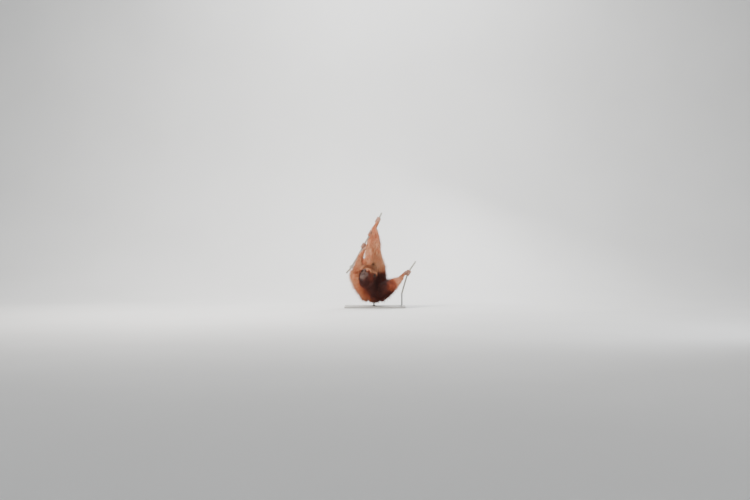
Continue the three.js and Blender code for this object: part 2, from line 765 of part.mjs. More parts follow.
// The trunk, neck and limbs
const solidsOf = (tubes, extra) => join(tubes.map((t) => t.solid(extra)));
const trunkCoat = [...coat(trunk, coats.torso), ...coat(girdle, coats.shoulders)];
node("torso", solidsOf(trunkTubes, 0), solidsOf(trunkTubes, GAP), coatFinish, trunkCoat);
tubeNode("neck", neck, coatFinish);
const chains = [
  ["upper_arm_left", "forearm_left", "hand_left", shoulderLeft, elbowLeft, wristLeft, grips.handLeft],
  ["upper_arm_right", "forearm_right", "hand_right", shoulderRight, elbowRight, wristRight, grips.handRight],
  ["thigh_left", "shank_left", "foot_left", hipLeft, kneeLeft, ankleLeft, grips.footLeft],
  ["thigh_right", "shank_right", "foot_right", hipRight, kneeRight, ankleRight, grips.footRight],
];
for (const [upper, lower, end, root, middle, tip, grip] of chains) {
  const bent = jointWay(root, middle, tip);
  const last = jointWay(middle, tip, grip.at.clone().addScaledVector(grip.palm, WRIST_CLEAR));
  const [back, lastBack] = [bent.clone().negate(), last.clone().negate()];
  const upperSolid = (extra) => past(limbs[upper].solid(extra), middle, back, GAP / 2 - extra);
  const lowerSolid = (extra) =>
    past(past(limbs[lower].solid(extra), middle, bent, GAP / 2 - extra), tip, lastBack, GAP / 2 - extra);
  const endSolid = (extra) => past(solidsOf(hands[end], extra), tip, last, GAP / 2 - extra);
  node(upper, upperSolid(0), upperSolid(GAP), coatFinish, coat(limbs[upper], coats[upper]));
  node(lower, lowerSolid(0), lowerSolid(GAP), coatFinish, coat(limbs[lower], coats[lower]));
  node(end, endSolid(0), endSolid(GAP), skin);
}

const boxesMeet = (a, b) => {
  const [p, q] = [a.boundingBox(), b.boundingBox()];
  return [0, 1, 2].every((k) => p.min[k] <= q.max[k] && q.min[k] <= p.max[k]);
};
const largest = (solid) =>
  solid.decompose().reduce((best, one) => (one.volume() > best.volume() ? one : best));

// Each plain solid gives way to those before it.
const ordered = [...nodes.entries()];
ordered.forEach(([, it], i) => {
  it.core = ordered
    .slice(0, i)
    .filter(([, other]) => boxesMeet(it.plain, other.fat))
    .reduce((left, [, other]) => left.subtract(other.fat), it.plain);
});

// A lock is lifted or shortened until it clears what stands in its way, and left out where it can't. What
// little still touches is cut off.
const LIFTS = [0.16, 0.34, 0.55];
const TOUCH = 0.1; // the share of a lock that may be cut off

function clearLock(shape, obstacles) {
  for (const share of [1, 0.7]) {
    for (const lift of LIFTS) {
      const tried = { ...shape, long: shape.long * share };
      const solid = lock(tried, lift);
      const met = obstacles.filter((one) => boxesMeet(solid, one));
      const volume = solid.volume();
      const touch = met.reduce((sum, one) => sum + solid.intersect(one).volume(), 0);
      if (touch > TOUCH * volume) continue;
      const kept = touch > 0 ? largest(met.reduce((left, one) => left.subtract(one), solid)) : solid;
      return { kept, fat: lock(tried, lift, GAP) };
    }
  }
  return null;
}

const hairBefore = [];
ordered.forEach(([, it]) => {
  it.solid = it.core;
  if (!it.locks.length) return;
  const others = ordered.filter(([, other]) => other !== it).map(([, other]) => other.fat);
  const obstacles = [...others, ...hairBefore];
  const made = it.locks.map((shape) => clearLock(shape, obstacles)).filter(Boolean);
  hairBefore.push(...made.map((one) => one.fat));
  it.solid = join([it.core, ...made.map((one) => one.kept)]);
});

const orangutan = new THREE.Group();
orangutan.name = "orangutan";
for (const [name, it] of ordered) {
  const made = largest(it.solid).getMesh();
  const count = made.vertProperties.length / made.numProp;
  const positions = new Float32Array(count * 3);
  for (let i = 0; i < count; i++) {
    positions.set(made.vertProperties.subarray(i * made.numProp, i * made.numProp + 3), i * 3);
  }
  const geometry = new THREE.BufferGeometry();
  geometry.setAttribute("position", new THREE.BufferAttribute(positions, 3));
  geometry.setIndex(new THREE.BufferAttribute(made.triVerts, 1));
  geometry.computeVertexNormals();
  const mesh = new THREE.Mesh(geometry, new THREE.MeshStandardMaterial(it.finish));
  mesh.name = name;
  orangutan.add(mesh);
}

export default orangutan;
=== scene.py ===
# A still, life-size orangutan, a grown female, who hangs from two ropes over a flat display stand.
# Metres. +Z is up, -Y the front and +X the animal's left. The origin is under the middle of the base.
import math

import bpy
import numpy as np
from mathutils import Matrix, Vector
from mathutils.bvhtree import BVHTree
from mathutils.kdtree import KDTree


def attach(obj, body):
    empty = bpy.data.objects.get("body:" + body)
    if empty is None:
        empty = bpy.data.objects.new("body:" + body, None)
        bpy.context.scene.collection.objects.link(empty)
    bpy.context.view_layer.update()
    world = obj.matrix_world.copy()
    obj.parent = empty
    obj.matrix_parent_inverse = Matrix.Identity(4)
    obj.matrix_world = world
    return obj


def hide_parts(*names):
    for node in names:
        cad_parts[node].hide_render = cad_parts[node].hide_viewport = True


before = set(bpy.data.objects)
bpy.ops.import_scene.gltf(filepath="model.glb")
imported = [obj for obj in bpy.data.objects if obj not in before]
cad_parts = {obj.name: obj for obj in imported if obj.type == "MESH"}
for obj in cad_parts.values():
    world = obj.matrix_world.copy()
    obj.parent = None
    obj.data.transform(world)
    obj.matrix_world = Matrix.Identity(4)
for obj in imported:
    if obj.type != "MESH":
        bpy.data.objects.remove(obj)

for leftover in ("Cube", "Light", "Camera"):
    if leftover in bpy.data.objects:
        bpy.data.objects.remove(bpy.data.objects[leftover])
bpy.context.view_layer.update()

MM = 0.001
SEED = 20
chance = np.random.default_rng(SEED)


def at(x, y, z):
    """A place given in millimetres."""
    return np.array((x, y, z), float) * MM


def unit(v):
    """Vectors of length one, for one vector or rows of them."""
    return v / np.maximum(np.linalg.norm(v, axis=-1, keepdims=True), 1e-9)


def turned(degrees):
    """A way in the picture's plane, that many degrees above +X."""
    return np.array((math.cos(math.radians(degrees)), 0, math.sin(math.radians(degrees))))


def ramp(x, low, high):
    """0 below low, 1 above high, and smooth between; falls where low is above high."""
    t = np.clip((x - low) / (high - low), 0, 1)
    return t * t * (3 - 2 * t)


# The skeleton's lengths, joint centre to joint centre
UPPER_ARM = 0.312
FOREARM = 0.322
THIGH = 0.284
SHANK = 0.254
HAND_REACH = 0.108
FOOT_REACH = 0.136
WRIST_CLEAR = 0.042
DOWN = np.array((0.0, 0.0, -1.0))

# The ropes: the main one hangs in a plane, kinks at its knot and slants up past three grips
ROPE_RADIUS = 0.012
ROPE_WAY = turned(60.3)
ROPE_LOW_WAY = -turned(50.5)
ROPE_TOP_WAY = turned(63.5)
KNOT = at(-310, -90, 534)
FOOT_RIGHT_GRIP = 0.319
HAND_RIGHT_GRIP = 0.507
HAND_LEFT_GRIP = 0.705
SIDE_GRIP = at(440, 10, 453)
SIDE_UP = turned(57.5)
SIDE_DOWN = -turned(72.5)
SIDE_BELOW = 0.284


def on_rope(distance):
    """A place on the main rope, from the knot."""
    return KNOT + ROPE_WAY * distance


def bend(root, end, first, second, hint):
    """The middle joint of a limb of two bones, bent towards the hint."""
    line = end - root
    length = min(np.linalg.norm(line), (first + second) * 0.999)
    line = unit(line)
    along = (first**2 + length**2 - second**2) / (2 * length)
    aside = math.sqrt(max(first**2 - along**2, 0))
    hint = np.array(hint, float)
    return root + line * along + unit(hint - line * hint.dot(line)) * aside


class Grip:
    """What a hand or foot holds: the middle of the grip, the rope's way, the side that the palm lies on and
    which way round the digits close."""

    def __init__(self, middle, way, palm, wrap):
        self.middle = middle
        self.way = way
        palm = np.array(palm, float)
        self.palm = unit(palm - way * palm.dot(way))
        self.across = np.cross(way, self.palm) * wrap

    def behind(self, reach):
        """The wrist or ankle that lies that far down the rope."""
        return self.middle - self.way * reach + self.palm * WRIST_CLEAR

    def ring(self, slide, degrees, clear):
        """A place round the rope, `clear` outside it."""
        far = ROPE_RADIUS + clear
        angle = math.radians(degrees)
        turn = self.palm * math.cos(angle) + self.across * math.sin(angle)
        return self.middle + self.way * slide + turn * far


hold_hand_left = Grip(on_rope(HAND_LEFT_GRIP), ROPE_WAY, (0.25, -0.95, -0.1), -1)
hold_hand_right = Grip(on_rope(HAND_RIGHT_GRIP), ROPE_WAY, (0.8, -0.35, -0.46), -1)
hold_foot_right = Grip(on_rope(FOOT_RIGHT_GRIP), ROPE_WAY, (0.75, -0.5, -0.43), -1)
hold_foot_left = Grip(SIDE_GRIP, SIDE_UP, (-0.75, -0.35, 0.5), 1)

# Joint centres
shoulder_left = at(60, -46, 552)
shoulder_right = at(-142, -24, 566)
hip_left = at(56, 4, 212)
hip_right = at(-96, 34, 212)
wrist_left = hold_hand_left.behind(HAND_REACH)
wrist_right = hold_hand_right.behind(HAND_REACH * 0.78)
ankle_right = hold_foot_right.behind(FOOT_REACH)
ankle_left = SIDE_GRIP + at(-108, -34, -76)
elbow_left = bend(shoulder_left, wrist_left, UPPER_ARM, FOREARM, (-0.04, -1, -0.1))
elbow_right = bend(shoulder_right, wrist_right, UPPER_ARM, FOREARM, (0.17, -1, 0.1))
knee_right = bend(hip_right, ankle_right, THIGH, SHANK, (-1, -0.25, 0.2))
knee_left = bend(hip_left, ankle_left, THIGH, SHANK, (0.1, -1, 0.1))

# The head's own frame: x forward, y to her left, z up, in millimetres from between the ears
HEAD_AT = at(-90, -172, 436)
HEAD_YAW = math.radians(33)
HEAD_PITCH = math.radians(14)
head_way = np.array(
    (
        -math.sin(HEAD_YAW) * math.cos(HEAD_PITCH),
        -math.cos(HEAD_YAW) * math.cos(HEAD_PITCH),
        math.sin(HEAD_PITCH),
    )
)
head_left = np.array((math.cos(HEAD_YAW), -math.sin(HEAD_YAW), 0))
head_up = np.cross(head_way, head_left)
HEAD_TURN = np.column_stack((head_way, head_left, head_up))
HEAD_SIZE = 1.12


def from_head(p):
    """Places in the head's frame, in millimetres, as places in the row frame."""
    return HEAD_AT + (np.asarray(p, float) * MM * HEAD_SIZE) @ HEAD_TURN.T


def to_head(p):
    """Places in the row frame as places in the head's frame, in millimetres."""
    return ((p - HEAD_AT) @ HEAD_TURN) / (MM * HEAD_SIZE)


def smooth_path(points, t, even=False):
    """Places at shares t of a smooth curve through the points; even spacing treats them as equally far."""
    p = np.vstack([2 * points[0] - points[1], points, 2 * points[-1] - points[-2]])
    last = len(points) - 1
    span = np.clip((t * last).astype(int), 0, last - 1)
    w = (t * last - span)[:, None]
    p0, p1, p2, p3 = (p[span + k] for k in range(4))
    if even:
        m1 = (p2 - p0) / 2
        m2 = (p3 - p1) / 2
    else:
        pairs = ((p0, p1), (p1, p2), (p2, p3))
        d0, d1, d2 = (np.maximum(np.linalg.norm(b - a, axis=1), 1e-9)[:, None] ** 0.5 for a, b in pairs)
        m1 = ((p1 - p0) / d0 - (p2 - p0) / (d0 + d1) + (p2 - p1) / d1) * d1
        m2 = ((p2 - p1) / d1 - (p3 - p1) / (d1 + d2) + (p3 - p2) / d2) * d1
    curve = p1 + w * m1 + w**2 * (3 * p2 - 3 * p1 - 2 * m1 - m2)
    return curve + w**3 * (2 * p1 - 2 * p2 + m1 + m2)


class Tube:
    """A form with round ends along a smooth path, from stations of (middle, half width, half depth)."""

    def __init__(self, stations, across=(1, 0, 0), rows=12):
        self.rows = rows
        t = np.linspace(0, 1, rows + 1)
        points = np.array([s[0] for s in stations])
        sizes = np.array([(s[1], s[2] if len(s) > 2 else s[1]) for s in stations], float)
        self.middle = smooth_path(points, t)
        self.sizes = smooth_path(sizes, t, even=True)
        self.along = unit(np.gradient(self.middle, axis=0))
        wide = np.array(across, float)
        self.wide = []
        for way in self.along:
            wide = unit(wide - way * wide.dot(way))
            self.wide.append(wide)
        self.wide = np.array(self.wide)
        self.deep = np.cross(self.along, self.wide)

    def nearest(self, p):
        """For each place, the share along the tube and its distance from the path over the tube's size."""
        best = np.full(len(p), np.inf)
        share = np.zeros(len(p))
        for i in range(self.rows):
            a = self.middle[i]
            line = self.middle[i + 1] - a
            w = np.clip((p - a) @ line / line.dot(line), 0, 1)
            away = p - a - w[:, None] * line
            size = self.sizes[i] * (1 - w[:, None]) + self.sizes[i + 1] * w[:, None]
            x = away @ self.wide[i] / size[:, 0]
            y = away @ self.deep[i] / size[:, 1]
            z = away @ self.along[i] / size.mean(axis=1)
            reach = np.sqrt(x * x + y * y + z * z)
            closer = reach < best
            best = np.where(closer, reach, best)
            share = np.where(closer, (i + w) / self.rows, share)
        return share, best


def deselect():
    if bpy.context.object and bpy.context.object.mode != "OBJECT":
        bpy.ops.object.mode_set(mode="OBJECT")
    bpy.ops.object.select_all(action="DESELECT")


def pick(obj, *more):
    """Selects the objects, the first one active."""
    deselect()
    for one in (obj, *more):
        one.select_set(True)
    bpy.context.view_layer.objects.active = obj


def added(name):
    """The object that the last operator added, named."""
    obj = bpy.context.object
    obj.name = name
    obj.data.name = name
    return obj


def read(items, key, width, kind=float):
    """One property of every item of a mesh's list, a row for each."""
    values = np.empty(len(items) * width, kind)
    items.foreach_get(key, values)
    return values.reshape(-1, width)


def places(obj):
    return read(obj.data.vertices, "co", 3)


def put(obj, co):
    obj.data.vertices.foreach_set("co", np.ascontiguousarray(co, float).ravel())
    obj.data.update()


def finish_modifiers(obj):
    pick(obj)
    for modifier in list(obj.modifiers):
        bpy.ops.object.modifier_apply(modifier=modifier.name)


def settle(obj):
    """Puts the object's place into its mesh, so that the object sits at the origin."""
    pick(obj)
    bpy.ops.object.transform_apply(location=True, rotation=True, scale=True)


def smooth(obj):
    pick(obj)
    bpy.ops.object.shade_smooth()


def ball(name, segments, rings):
    deselect()
    bpy.ops.mesh.primitive_uv_sphere_add(segments=segments, ring_count=rings, radius=1)
    return added(name)


def tube_piece(tube, name, sides=20, caps=5, shape=None):
    """A ball drawn out along the tube. `shape` may swell the radius by the share along it."""
    total = tube.rows + 2 * caps
    obj = ball(name, sides, total)
    co = places(obj)
    row = np.arccos(np.clip(co[:, 2], -1, 1)) / math.pi * total
    angle = np.arctan2(co[:, 1], co[:, 0])
    near = np.minimum(row / caps, 1) * math.pi / 2
    far = np.minimum((total - row) / caps, 1) * math.pi / 2
    i = np.clip(np.round(row - caps), 0, tube.rows).astype(int)
    size = tube.sizes[i]
    if shape is not None:
        size = size * shape(i / tube.rows)[:, None]
    shrink = np.sin(np.minimum(near, far))
    push = (np.cos(far) - np.cos(near)) * tube.sizes[i].mean(axis=1)
    flat = size * shrink[:, None]
    put(
        obj,
        tube.middle[i]
        + tube.wide[i] * (np.cos(angle) * flat[:, 0])[:, None]
        + tube.deep[i] * (np.sin(angle) * flat[:, 1])[:, None]
        + tube.along[i] * push[:, None],
    )
    return obj


def joined(objects, name):
    pick(*objects)
    bpy.ops.object.join()
    return added(name)


def melted(obj, voxel, rounds):
    """Fuses the object's forms into one closed surface and smooths where they meet."""
    remesh = obj.modifiers.new("melt", "REMESH")
    remesh.mode = "VOXEL"
    remesh.voxel_size = voxel
    relax = obj.modifiers.new("relax", "SMOOTH")
    relax.iterations = rounds
    relax.factor = 0.5
    finish_modifiers(obj)
    return obj


def unite(obj, other):
    """Fuses the other closed form into the object and removes it."""
    union = obj.modifiers.new("union", "BOOLEAN")
    union.operation = "UNION"
    union.solver = "MANIFOLD"
    union.object = other
    finish_modifiers(obj)
    bpy.data.objects.remove(other)


def on_edges(obj, chosen, operator, **settings):
    """Runs a mesh operator on those edges whose two ends are as `chosen` asks."""
    pick(obj)
    bpy.ops.object.mode_set(mode="EDIT")
    bpy.ops.mesh.select_mode(type="EDGE")
    bpy.ops.mesh.select_all(action="DESELECT")
    bpy.ops.object.mode_set(mode="OBJECT")
    co = places(obj)
    for edge in obj.data.edges:
        edge.select = bool(chosen(co[edge.vertices[0]], co[edge.vertices[1]]))
    bpy.ops.object.mode_set(mode="EDIT")
    operator(**settings)
    bpy.ops.object.mode_set(mode="OBJECT")


# Flesh, as deep under the coat as its core
trunk = Tube(
    [
        (at(-14, 36, 200), 0.090, 0.082),
        (at(-16, 28, 252), 0.118, 0.102),
        (at(-18, 16, 335), 0.131, 0.116),
        (at(-24, 6, 425), 0.131, 0.105),
        (at(-32, -8, 505), 0.121, 0.091),
        (at(-38, -22, 566), 0.080, 0.066),
    ],
    rows=20,
)
girdle = Tube([(shoulder_right, 0.050), (at(-40, -16, 562), 0.066), (shoulder_left, 0.050)])
hips = Tube([(hip_right, 0.070), (at(-18, 26, 208), 0.082), (hip_left, 0.070)], across=(0, 1, 0))
neck = Tube([(at(-40, -40, 530), 0.064), (at(-50, -92, 494), 0.060), (at(-66, -134, 458), 0.056)])


def limb(root, end, sizes):
    """A length of flesh between two joints, with its sizes at even shares."""
    shares = np.linspace(0, 1, len(sizes))
    return Tube([(root + (end - root) * s, size) for s, size in zip(shares, sizes)], rows=14)


limbs = {
    "upper_arm_left": limb(shoulder_left, elbow_left, (0.047, 0.042, 0.037, 0.032)),
    "upper_arm_right": limb(shoulder_right, elbow_right, (0.047, 0.042, 0.037, 0.032)),
    "forearm_left": limb(elbow_left, wrist_left, (0.032, 0.037, 0.031, 0.022)),
    "forearm_right": limb(elbow_right, wrist_right, (0.032, 0.037, 0.031, 0.022)),
    "thigh_left": limb(hip_left, knee_left, (0.073, 0.067, 0.055, 0.044)),
    "thigh_right": limb(hip_right, knee_right, (0.073, 0.067, 0.055, 0.044)),
    "shank_left": limb(knee_left, ankle_left, (0.042, 0.042, 0.032, 0.025)),
    "shank_right": limb(knee_right, ankle_right, (0.042, 0.040, 0.031, 0.024)),
}

# Hands and feet: four digits from wrist or ankle round the rope, an opposed thumb or toe, a palm and a heel
DIGIT_BEND = 5
BODY_VOXEL = 0.007
HAND_VOXEL = 0.0029


class Grasp:
    """A hand or foot closed round a rope."""

    def __init__(self, grip, wrist, foot):
        self.grip = grip
        self.wrist = wrist
        self.foot = foot
        self.radius = (0.015, 0.013, 0.0105, 0.008) if foot else (0.014, 0.0125, 0.0105, 0.008)
        self.spread = 0.019 if foot else 0.0205
        reach = (215, 235, 228, 200)
        self.digits = [self.digit(k, reach[k]) for k in range(4)]
        self.digits.append(self.thumb())

    def digit(self, k, reach, start=-24):
        slide = (1.5 - k) * self.spread
        r = self.radius
        base = self.grip.ring(slide - 0.006, start, r[2] + 0.003)
        stations = [
            (self.wrist + (base - self.wrist) * 0.12, r[0]),
            (self.wrist + (base - self.wrist) * 0.6, r[1]),
            (base, r[2] + 0.0006),
        ]
        for i in range(1, DIGIT_BEND + 1):
            share = i / DIGIT_BEND
            size = r[2] + (r[3] - r[2]) * share
            place = self.grip.ring(slide + 0.002 * share, start + reach * share, size + 0.0012)
            stations.append((place, size))
        return Tube(stations, rows=36)

    def thumb(self):
        slide = -1.9 * self.spread
        clear = 0.011 if self.foot else 0.010
        root = self.wrist + (self.grip.ring(slide, 0, clear) - self.wrist) * 0.35
        stations = [(root, 0.013)]
        for degrees, size in ((-25, 0.011), (-75, 0.0095), (-120, 0.0075)):
            stations.append((self.grip.ring(slide, degrees, clear), size))
        return Tube(stations, rows=18)

    def flesh(self):
        grip = self.grip
        wrist = self.wrist
        end = grip.ring(-0.006, -8, 0.025)
        middle = wrist + (grip.ring(0, 0, 0.022) - wrist) * 0.5
        sizes = (0.025, 0.022, 0.016)
        tubes = [Tube([(wrist, sizes[0]), (middle, sizes[1]), (end, sizes[2])])]
        if self.foot:
            heel = wrist + grip.palm * 0.004 - grip.way * 0.026
            tubes.append(Tube([(heel, 0.021), (wrist, 0.024)]))
        return tubes

    def knuckled(self, share):
        """Thicker at the joints, thinner between them."""
        return 1 + 0.1 * np.cos((share - 0.36) * 2 * math.pi * 3.2) * ramp(share, 0.25, 0.4)

    def run(self, p):
        """How far along its nearest digit each place lies, in metres, and how near to the next digit."""
        shares, reaches = zip(*(digit.nearest(p) for digit in self.digits))
        nearest = np.argmin(reaches, axis=0)
        lengths = [np.linalg.norm(np.diff(digit.middle, axis=0), axis=1).sum() for digit in self.digits]
        first, second = np.sort(reaches, axis=0)[:2]
        along = np.array(shares)[nearest, np.arange(len(p))] * np.array(lengths)[nearest]
        return along, ramp(second - first, 0.45, 0.0)

    def piece(self, name):
        parts = [tube_piece(tube, "palm") for tube in self.flesh()]
        parts += [tube_piece(d, "digit", sides=14, caps=4, shape=self.knuckled) for d in self.digits]
        return melted(joined(parts, name), HAND_VOXEL, 2)


grasps = {
    "hand_left": Grasp(hold_hand_left, wrist_left, False),
    "hand_right": Grasp(hold_hand_right, wrist_right, False),
    "foot_right": Grasp(hold_foot_right, ankle_right, True),
    "foot_left": Grasp(hold_foot_left, ankle_left, True),
}

# The head, in its own frame and in millimetres. What lies at the sides is given once, at her left.
HEAD_CORE = np.array((22.0, 0.0, -14.0))
SKULL = (
    ((-10, 0, 26), (88, 71, 70)),
    ((34, 0, -12), (52, 63, 60)),
    ((66, 0, -50), (52, 47, 40)),
    ((50, 0, -84), (42, 38, 24)),
    ((4, 0, -46), (58, 58, 50)),
)
SKULL_MELT = 6.7
EYE = np.array((72.0, 29.0, 21.0))
EYE_RADIUS = 11.0


def egg(p, centre, radii):
    """The distance, nearly, from an egg-shaped form."""
    return (np.linalg.norm((p - np.array(centre)) / np.array(radii), axis=1) - 1) * min(radii)


def cord_distance(p, points, sizes):
    """The distance from a round cord through the points."""
    best = np.full(len(p), np.inf)
    points = np.array(points, float)
    for i in range(len(points) - 1):
        line = points[i + 1] - points[i]
        w = np.clip((p - points[i]) @ line / line.dot(line), 0, 1)
        size = sizes[i] + (sizes[i + 1] - sizes[i]) * w
        best = np.minimum(best, np.linalg.norm(p - points[i] - w[:, None] * line, axis=1) - size)
    return best


def melt(a, b, width):
    """Joins two forms with a soft valley of that width."""
    h = np.maximum(width - np.abs(a - b), 0) / width
    return np.minimum(a, b) - h * h * width / 4


def carve(a, b, width):
    """Takes form b out of a, with a soft edge of that width."""
    return -melt(-a, b, width)


BROW = ((86, 3, 33), (86, 18, 38), (78, 38, 38), (62, 54, 30))
BAG = ((87, 13, 7), (86, 27, 3), (77, 42, 8))
NOSE = ((80, 0, 28), (88, 0, 8), (99, 0, -13))
UPPER_LIP = ((119, 0, -56), (115, 16, -56), (105, 31, -56), (86, 45, -54))
LOWER_LIP = ((115, 0, -67), (111, 16, -67), (101, 30, -65), (85, 43, -60))
MOUTH = ((127, 0, -61), (122, 17, -61), (110, 33, -60), (91, 48, -57))
NOSE_FOLD = ((104, 15, -14), (98, 30, -24), (88, 44, -40))


def head_distance(p):
    """The distance from the head's skin, negative inside."""
    q = p * (1, 0, 1) + np.abs(p[:, 1])[:, None] * (0, 1, 0)
    forms = np.array([egg(q, centre, radii) for centre, radii in SKULL])
    d = -SKULL_MELT * np.log(np.exp(-forms / SKULL_MELT).sum(axis=0))
    d = melt(d, egg(q, (88, 0, -46), (31, 43, 26)), 12)
    d = melt(d, egg(q, (86, 0, -80), (26, 32, 18)), 12)
    d = melt(d, egg(q, (26, 0, -92), (44, 38, 26)), 14)
    d = melt(d, egg(q, (58, 44, -14), (22, 18, 24)), 14)
    d = carve(d, egg(q, (99, 28, 20), (18, 21, 15)), 12)
    d = melt(d, cord_distance(q, BROW, (7, 8, 8, 6)), 9)
    d = melt(d, cord_distance(q, NOSE, (6, 7, 8)), 10)
    d = melt(d, egg(q, (104, 8, -21), (9, 9, 8)), 7)
    lids = egg(q, EYE, (EYE_RADIUS + 2.9,) * 3)
    lids = melt(lids, cord_distance(q, BAG, (3.4, 4.4, 3.4)), 7)
    lids = carve(lids, egg(q, EYE + (12, 0.5, -0.5), (16, 12.2, 5.6)), 1.6)
    socket = egg(q, EYE + (12, 0.5, -0.5), (22, 11.6, 5.2))
    d = carve(melt(d, lids, 6), socket, 1.6)
    d = melt(d, cord_distance(q, UPPER_LIP, (6.5, 6.5, 6, 4.5)), 7)
    d = melt(d, cord_distance(q, LOWER_LIP, (6.5, 6.2, 5.6, 4.2)), 7)
    d = carve(d, cord_distance(q, MOUTH, (4, 4, 3.6, 2.4)), 2.5)
    d = carve(d, egg(q, (113, 6.2, -27), (8, 3.6, 4.4)), 3)
    return carve(d, cord_distance(q, NOSE_FOLD, (2, 2, 1.4)), 5)


def head_skin(ways):
    """The places of the skin in those directions from the head's core."""
    near = np.full(len(ways), 12.0)
    far = np.full(len(ways), 190.0)
    for _ in range(24):
        middle = (near + far) / 2
        inside = head_distance(HEAD_CORE + ways * middle[:, None]) < 0
        near = np.where(inside, middle, near)
        far = np.where(inside, far, middle)
    return HEAD_CORE + ways * near[:, None]


def wrinkles(p):
    """How far the skin stands out or in for the face's folds, in millimetres."""
    x, y, z = p.T
    side = np.abs(y)
    front = ramp(x, 40, 70)
    lip = ramp(z, -30, -38) * ramp(z, -58, -50) * ramp(x, 84, 96)
    lip_lines = 0.35 * np.sin(y * 0.75 + 0.4 * np.sin(z * 0.3)) * lip
    frown = ramp(z, 44, 50) * ramp(z, 74, 66) * ramp(side, 46, 34) * front
    frown_lines = 0.5 * np.sin(z * 0.85 + 1.2 * np.cos(y * 0.07)) * frown
    far = np.hypot((side - 29) / 1.25, z - 20)
    round_eye = ramp(far, 15, 18) * ramp(far, 34, 26) * front
    eye_lines = 0.45 * np.sin(far * 1.15) * round_eye * ramp(z, 24, 12)
    cheek = ramp(side, 30, 42) * ramp(z, 4, -6) * ramp(z, -62, -44) * front
    cheek_lines = 0.5 * np.sin((side - z * 0.5) * 0.6) * cheek
    return lip_lines + frown_lines + eye_lines + cheek_lines


def head_piece():
    deselect()
    bpy.ops.mesh.primitive_ico_sphere_add(subdivisions=7, radius=1)
    head = added("head_form")
    ways = unit(places(head) + np.array((0.45, 0, -0.05)))
    skin = head_skin(ways)
    put(head, from_head(skin + ways * wrinkles(skin)[:, None]))
    return head


EAR_AT = np.array((-18.0, 70.0, -2.0))
EAR_HIGH = 24.0
EAR_WIDE = 16.0


def ear_piece(name, side):
    """A cupped ear: a rolled rim, the ridge inside it, the bowl and the small flap before the bowl."""
    obj = ball(name, 60, 48)
    co = places(obj)
    share = np.arccos(np.clip(co[:, 2], -1, 1)) / math.pi
    r = np.sin(share * math.pi)
    angle = np.arctan2(co[:, 1], co[:, 0])
    forward, up = r * np.cos(angle), r * np.sin(angle)
    behind = ramp(np.cos(angle), 0.8, 0.3)
    rim = 5 * np.exp(-(((r - 0.9) / 0.085) ** 2)) * (0.3 + 0.7 * behind)
    ridge = 3.4 * np.exp(-(((r - 0.6) / 0.1) ** 2)) * ramp(np.cos(angle + 0.25), 0.35, -0.4)
    bowl = 4.5 * ramp(r, 0.2, 0.55) * behind - 3
    flap = 4.5 * np.exp(-(((forward - 0.55) / 0.15) ** 2) - ((up + 0.05) / 0.22) ** 2)
    outer = 3 + rim + ridge + bowl + flap
    inner = -8 + 12 * ramp(r, 0.7, 1.0)
    lift = np.where(share > 0.5, outer, inner)
    narrow = 1 - 0.16 * ramp(-up, 0.2, 1)
    local = np.column_stack(
        (
            forward * EAR_WIDE * narrow - 3,
            side * (lift + 5 * r * (1 - np.cos(angle))),
            up * EAR_HIGH,
        )
    )
    put(obj, from_head(EAR_AT * (1, side, 1) + local))
    return obj


def outwards(obj):
    """Merges doubles and turns all faces outwards."""
    pick(obj)
    bpy.ops.object.mode_set(mode="EDIT")
    bpy.ops.mesh.select_all(action="SELECT")
    bpy.ops.mesh.remove_doubles(threshold=0.00001)
    bpy.ops.mesh.normals_make_consistent(inside=False)
    bpy.ops.object.mode_set(mode="OBJECT")


def make_skin():
    body = [tube_piece(trunk, "trunk", sides=32)]
    body += [tube_piece(t, "flesh") for t in (girdle, hips, neck, *limbs.values())]
    skin = melted(joined(body, "skin"), BODY_VOXEL, 8)
    for name, grasp in grasps.items():
        unite(skin, grasp.piece(name))
    unite(skin, head_piece())
    for name, side in (("ear_left_form", 1), ("ear_right_form", -1)):
        ear = ear_piece(name, side)
        outwards(ear)
        unite(skin, ear)
    smooth(skin)
    return skin


skin = make_skin()


# The coat. Its lie, length and colour are known at any place from the flesh beneath.
class Flesh:
    """What grows on one length of flesh: which way the hair lies along it, 1 towards the end, its length
    and width in millimetres, how it stands off and falls, and how pale it is at even stations, a paleness
    that holds the coat's own tone together with painted sunlight and painted shade."""

    def __init__(self, tube, flow, long, wide, lift, fall, pale):
        self.tube = tube
        self.flow = flow
        self.long = long
        self.wide = wide
        self.lift = lift
        self.fall = fall
        self.pale = pale
